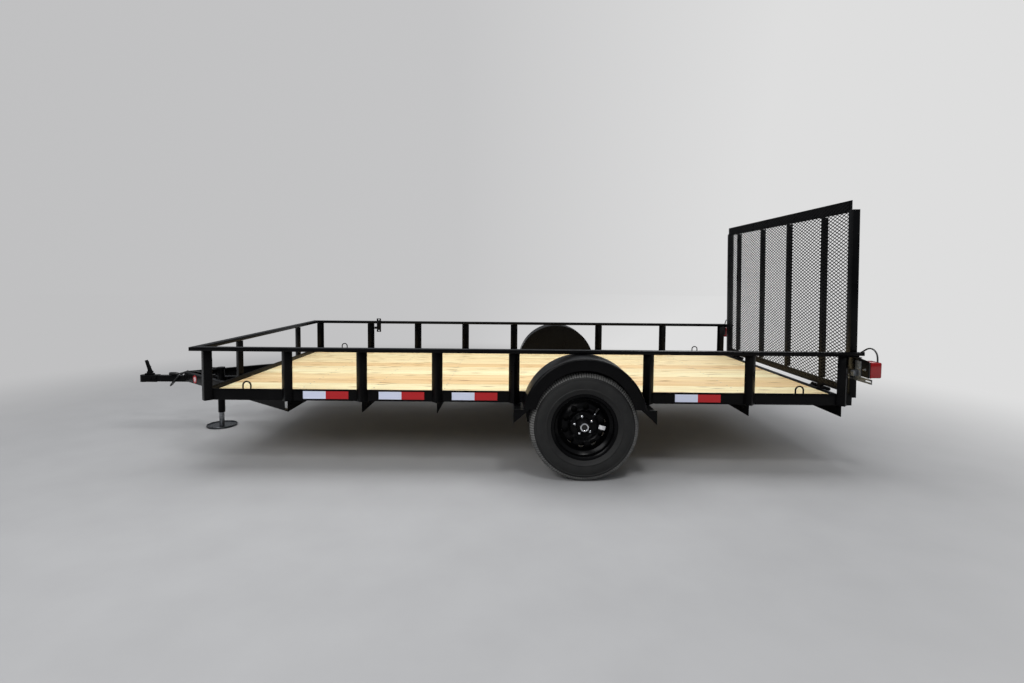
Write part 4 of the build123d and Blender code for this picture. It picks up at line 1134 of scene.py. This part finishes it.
def hex_bolt(seat, direction, radius, head=0.006):
    """A bolt head on its washer, standing off a face."""
    seat, direction = Vector(seat), Vector(direction)
    washer = rod(seat, seat + direction * WASHER, radius * 1.9, 24, 0.0004)
    top = rod(seat + direction * WASHER, seat + direction * (WASHER + head), radius * 1.7, 6, 0.0007)
    end = rod(seat, seat + direction * (head + 0.006), radius, 16, 0.0006)
    return joined("hex_bolt", washer, top, end)


def coupler_fittings():
    """Lever with its pivot, the clamp's channel over the socket, and the bolts through the pole."""
    low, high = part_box("coupler")
    pole_low, pole_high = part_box("tongue_pole")
    middle_z = (pole_low.z + pole_high.z) / 2
    x = low.x            # the coupler's nose
    channel = block((x + 0.040, -EAR_Y, high.z), (x + 0.112, EAR_Y, high.z + 0.014), 0.005, 3)
    pivot_x, pivot_z = x + PIVOT_FROM_NOSE, high.z + PIVOT_RISE
    pivot = rod((pivot_x, -0.024, pivot_z), (pivot_x, 0.024, pivot_z), 0.006, 20, 0.001)
    ears = [
        block((x + 0.062, y - 0.002, high.z), (x + 0.096, y + 0.002, high.z + 0.031), 0.0018)
        for y in (-EAR_Y, EAR_Y)
    ]
    grip = rod((x + 0.052, 0, high.z + 0.104), (x + 0.066, 0, high.z + 0.110), 0.011, 24, 0.003)
    thumb = block((x + 0.066, -0.009, high.z + 0.066), (x + 0.086, 0.009, high.z + 0.074), 0.003)
    steel = joined("coupler_fittings", channel, pivot, *ears, grip, thumb)
    bolts = [
        hex_bolt((x + away, side * (pole_high.y + COUPLER_SIDE), middle_z), (0, side, 0), 0.006)
        for away in POLE_BOLTS for side in (-1, 1)
    ]
    return steel, joined("coupler_bolts", *bolts)


lever = eased("coupler_latch", 0.003, 3)
piece("coupler_lever", lever, "chassis", BLACK, ("coupler_latch",))
steel, bolts = coupler_fittings()
piece("coupler_fittings", steel, "chassis", BLACK)
piece("coupler_bolts", bolts, "chassis", BLACK)


ROUNDEL_PLACE = 0.167    # along X from the apex
ROUNDEL_RADIUS, FIELD_RADIUS = 0.034, 0.020


def leg_roundel(radius, lift):
    """Blank round sticker on the left tongue leg's web, near the apex."""
    pole_low, pole_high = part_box("tongue_pole")
    legs_low, legs_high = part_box("tongue_legs")
    start_y, end_y = pole_low.y - 0.003, legs_low.y
    along = Vector((legs_high.x - legs_low.x, end_y - start_y, 0)).normalized()
    out = Vector((along.y, -along.x, 0))
    away = ROUNDEL_PLACE / along.x
    centre = Vector((legs_low.x, start_y, (legs_low.z + legs_high.z) / 2)) + along * away
    return rod(centre, centre + out * lift, radius, 48)


piece("roundel_rim", leg_roundel(ROUNDEL_RADIUS, 0.0004), "chassis", RED_TAPE)
piece("roundel_field", leg_roundel(FIELD_RADIUS, 0.0007), "chassis", PINK_VINYL)
piece("jack_housing", eased("jack_body", 0.002), "chassis", BLACK, ("jack_body",))
piece("jack_handle", eased("jack_crank", 0.0015), "chassis", BLACK, ("jack_crank",))
piece("jack_inner_tube", eased("jack_leg", 0.001), "jack_ram", ZINC, ("jack_leg",))


def jack_pad():
    """Pressed round foot: a flat ring on the floor and a rolled rim."""
    low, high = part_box("jack_foot")
    centre = Vector(((low.x + high.x) / 2, (low.y + high.y) / 2, low.z))
    radius = (high.x - low.x) / 2 / MM
    section = [
        (0.01, 0.2), (radius - 7, 0.2), (radius - 2, 2), (radius, 7), (radius, 13), (radius - 1.5, 15.8),
        (radius - 4, 15.8), (radius - 5, 13), (radius - 6, 8), (radius - 10, 6), (60, 6), (46, 6),
        (0.01, 6),
    ]
    places = [centre + Vector((across, 0, up)) * MM for across, up in section]
    return smooth(turned(places + places[:1], centre, (0, 0, 1), 96), 30)


# the foot's zinc is painted dark as shade
piece("jack_pad", jack_pad(), "jack_ram", SHADED_ZINC, ("jack_foot",))
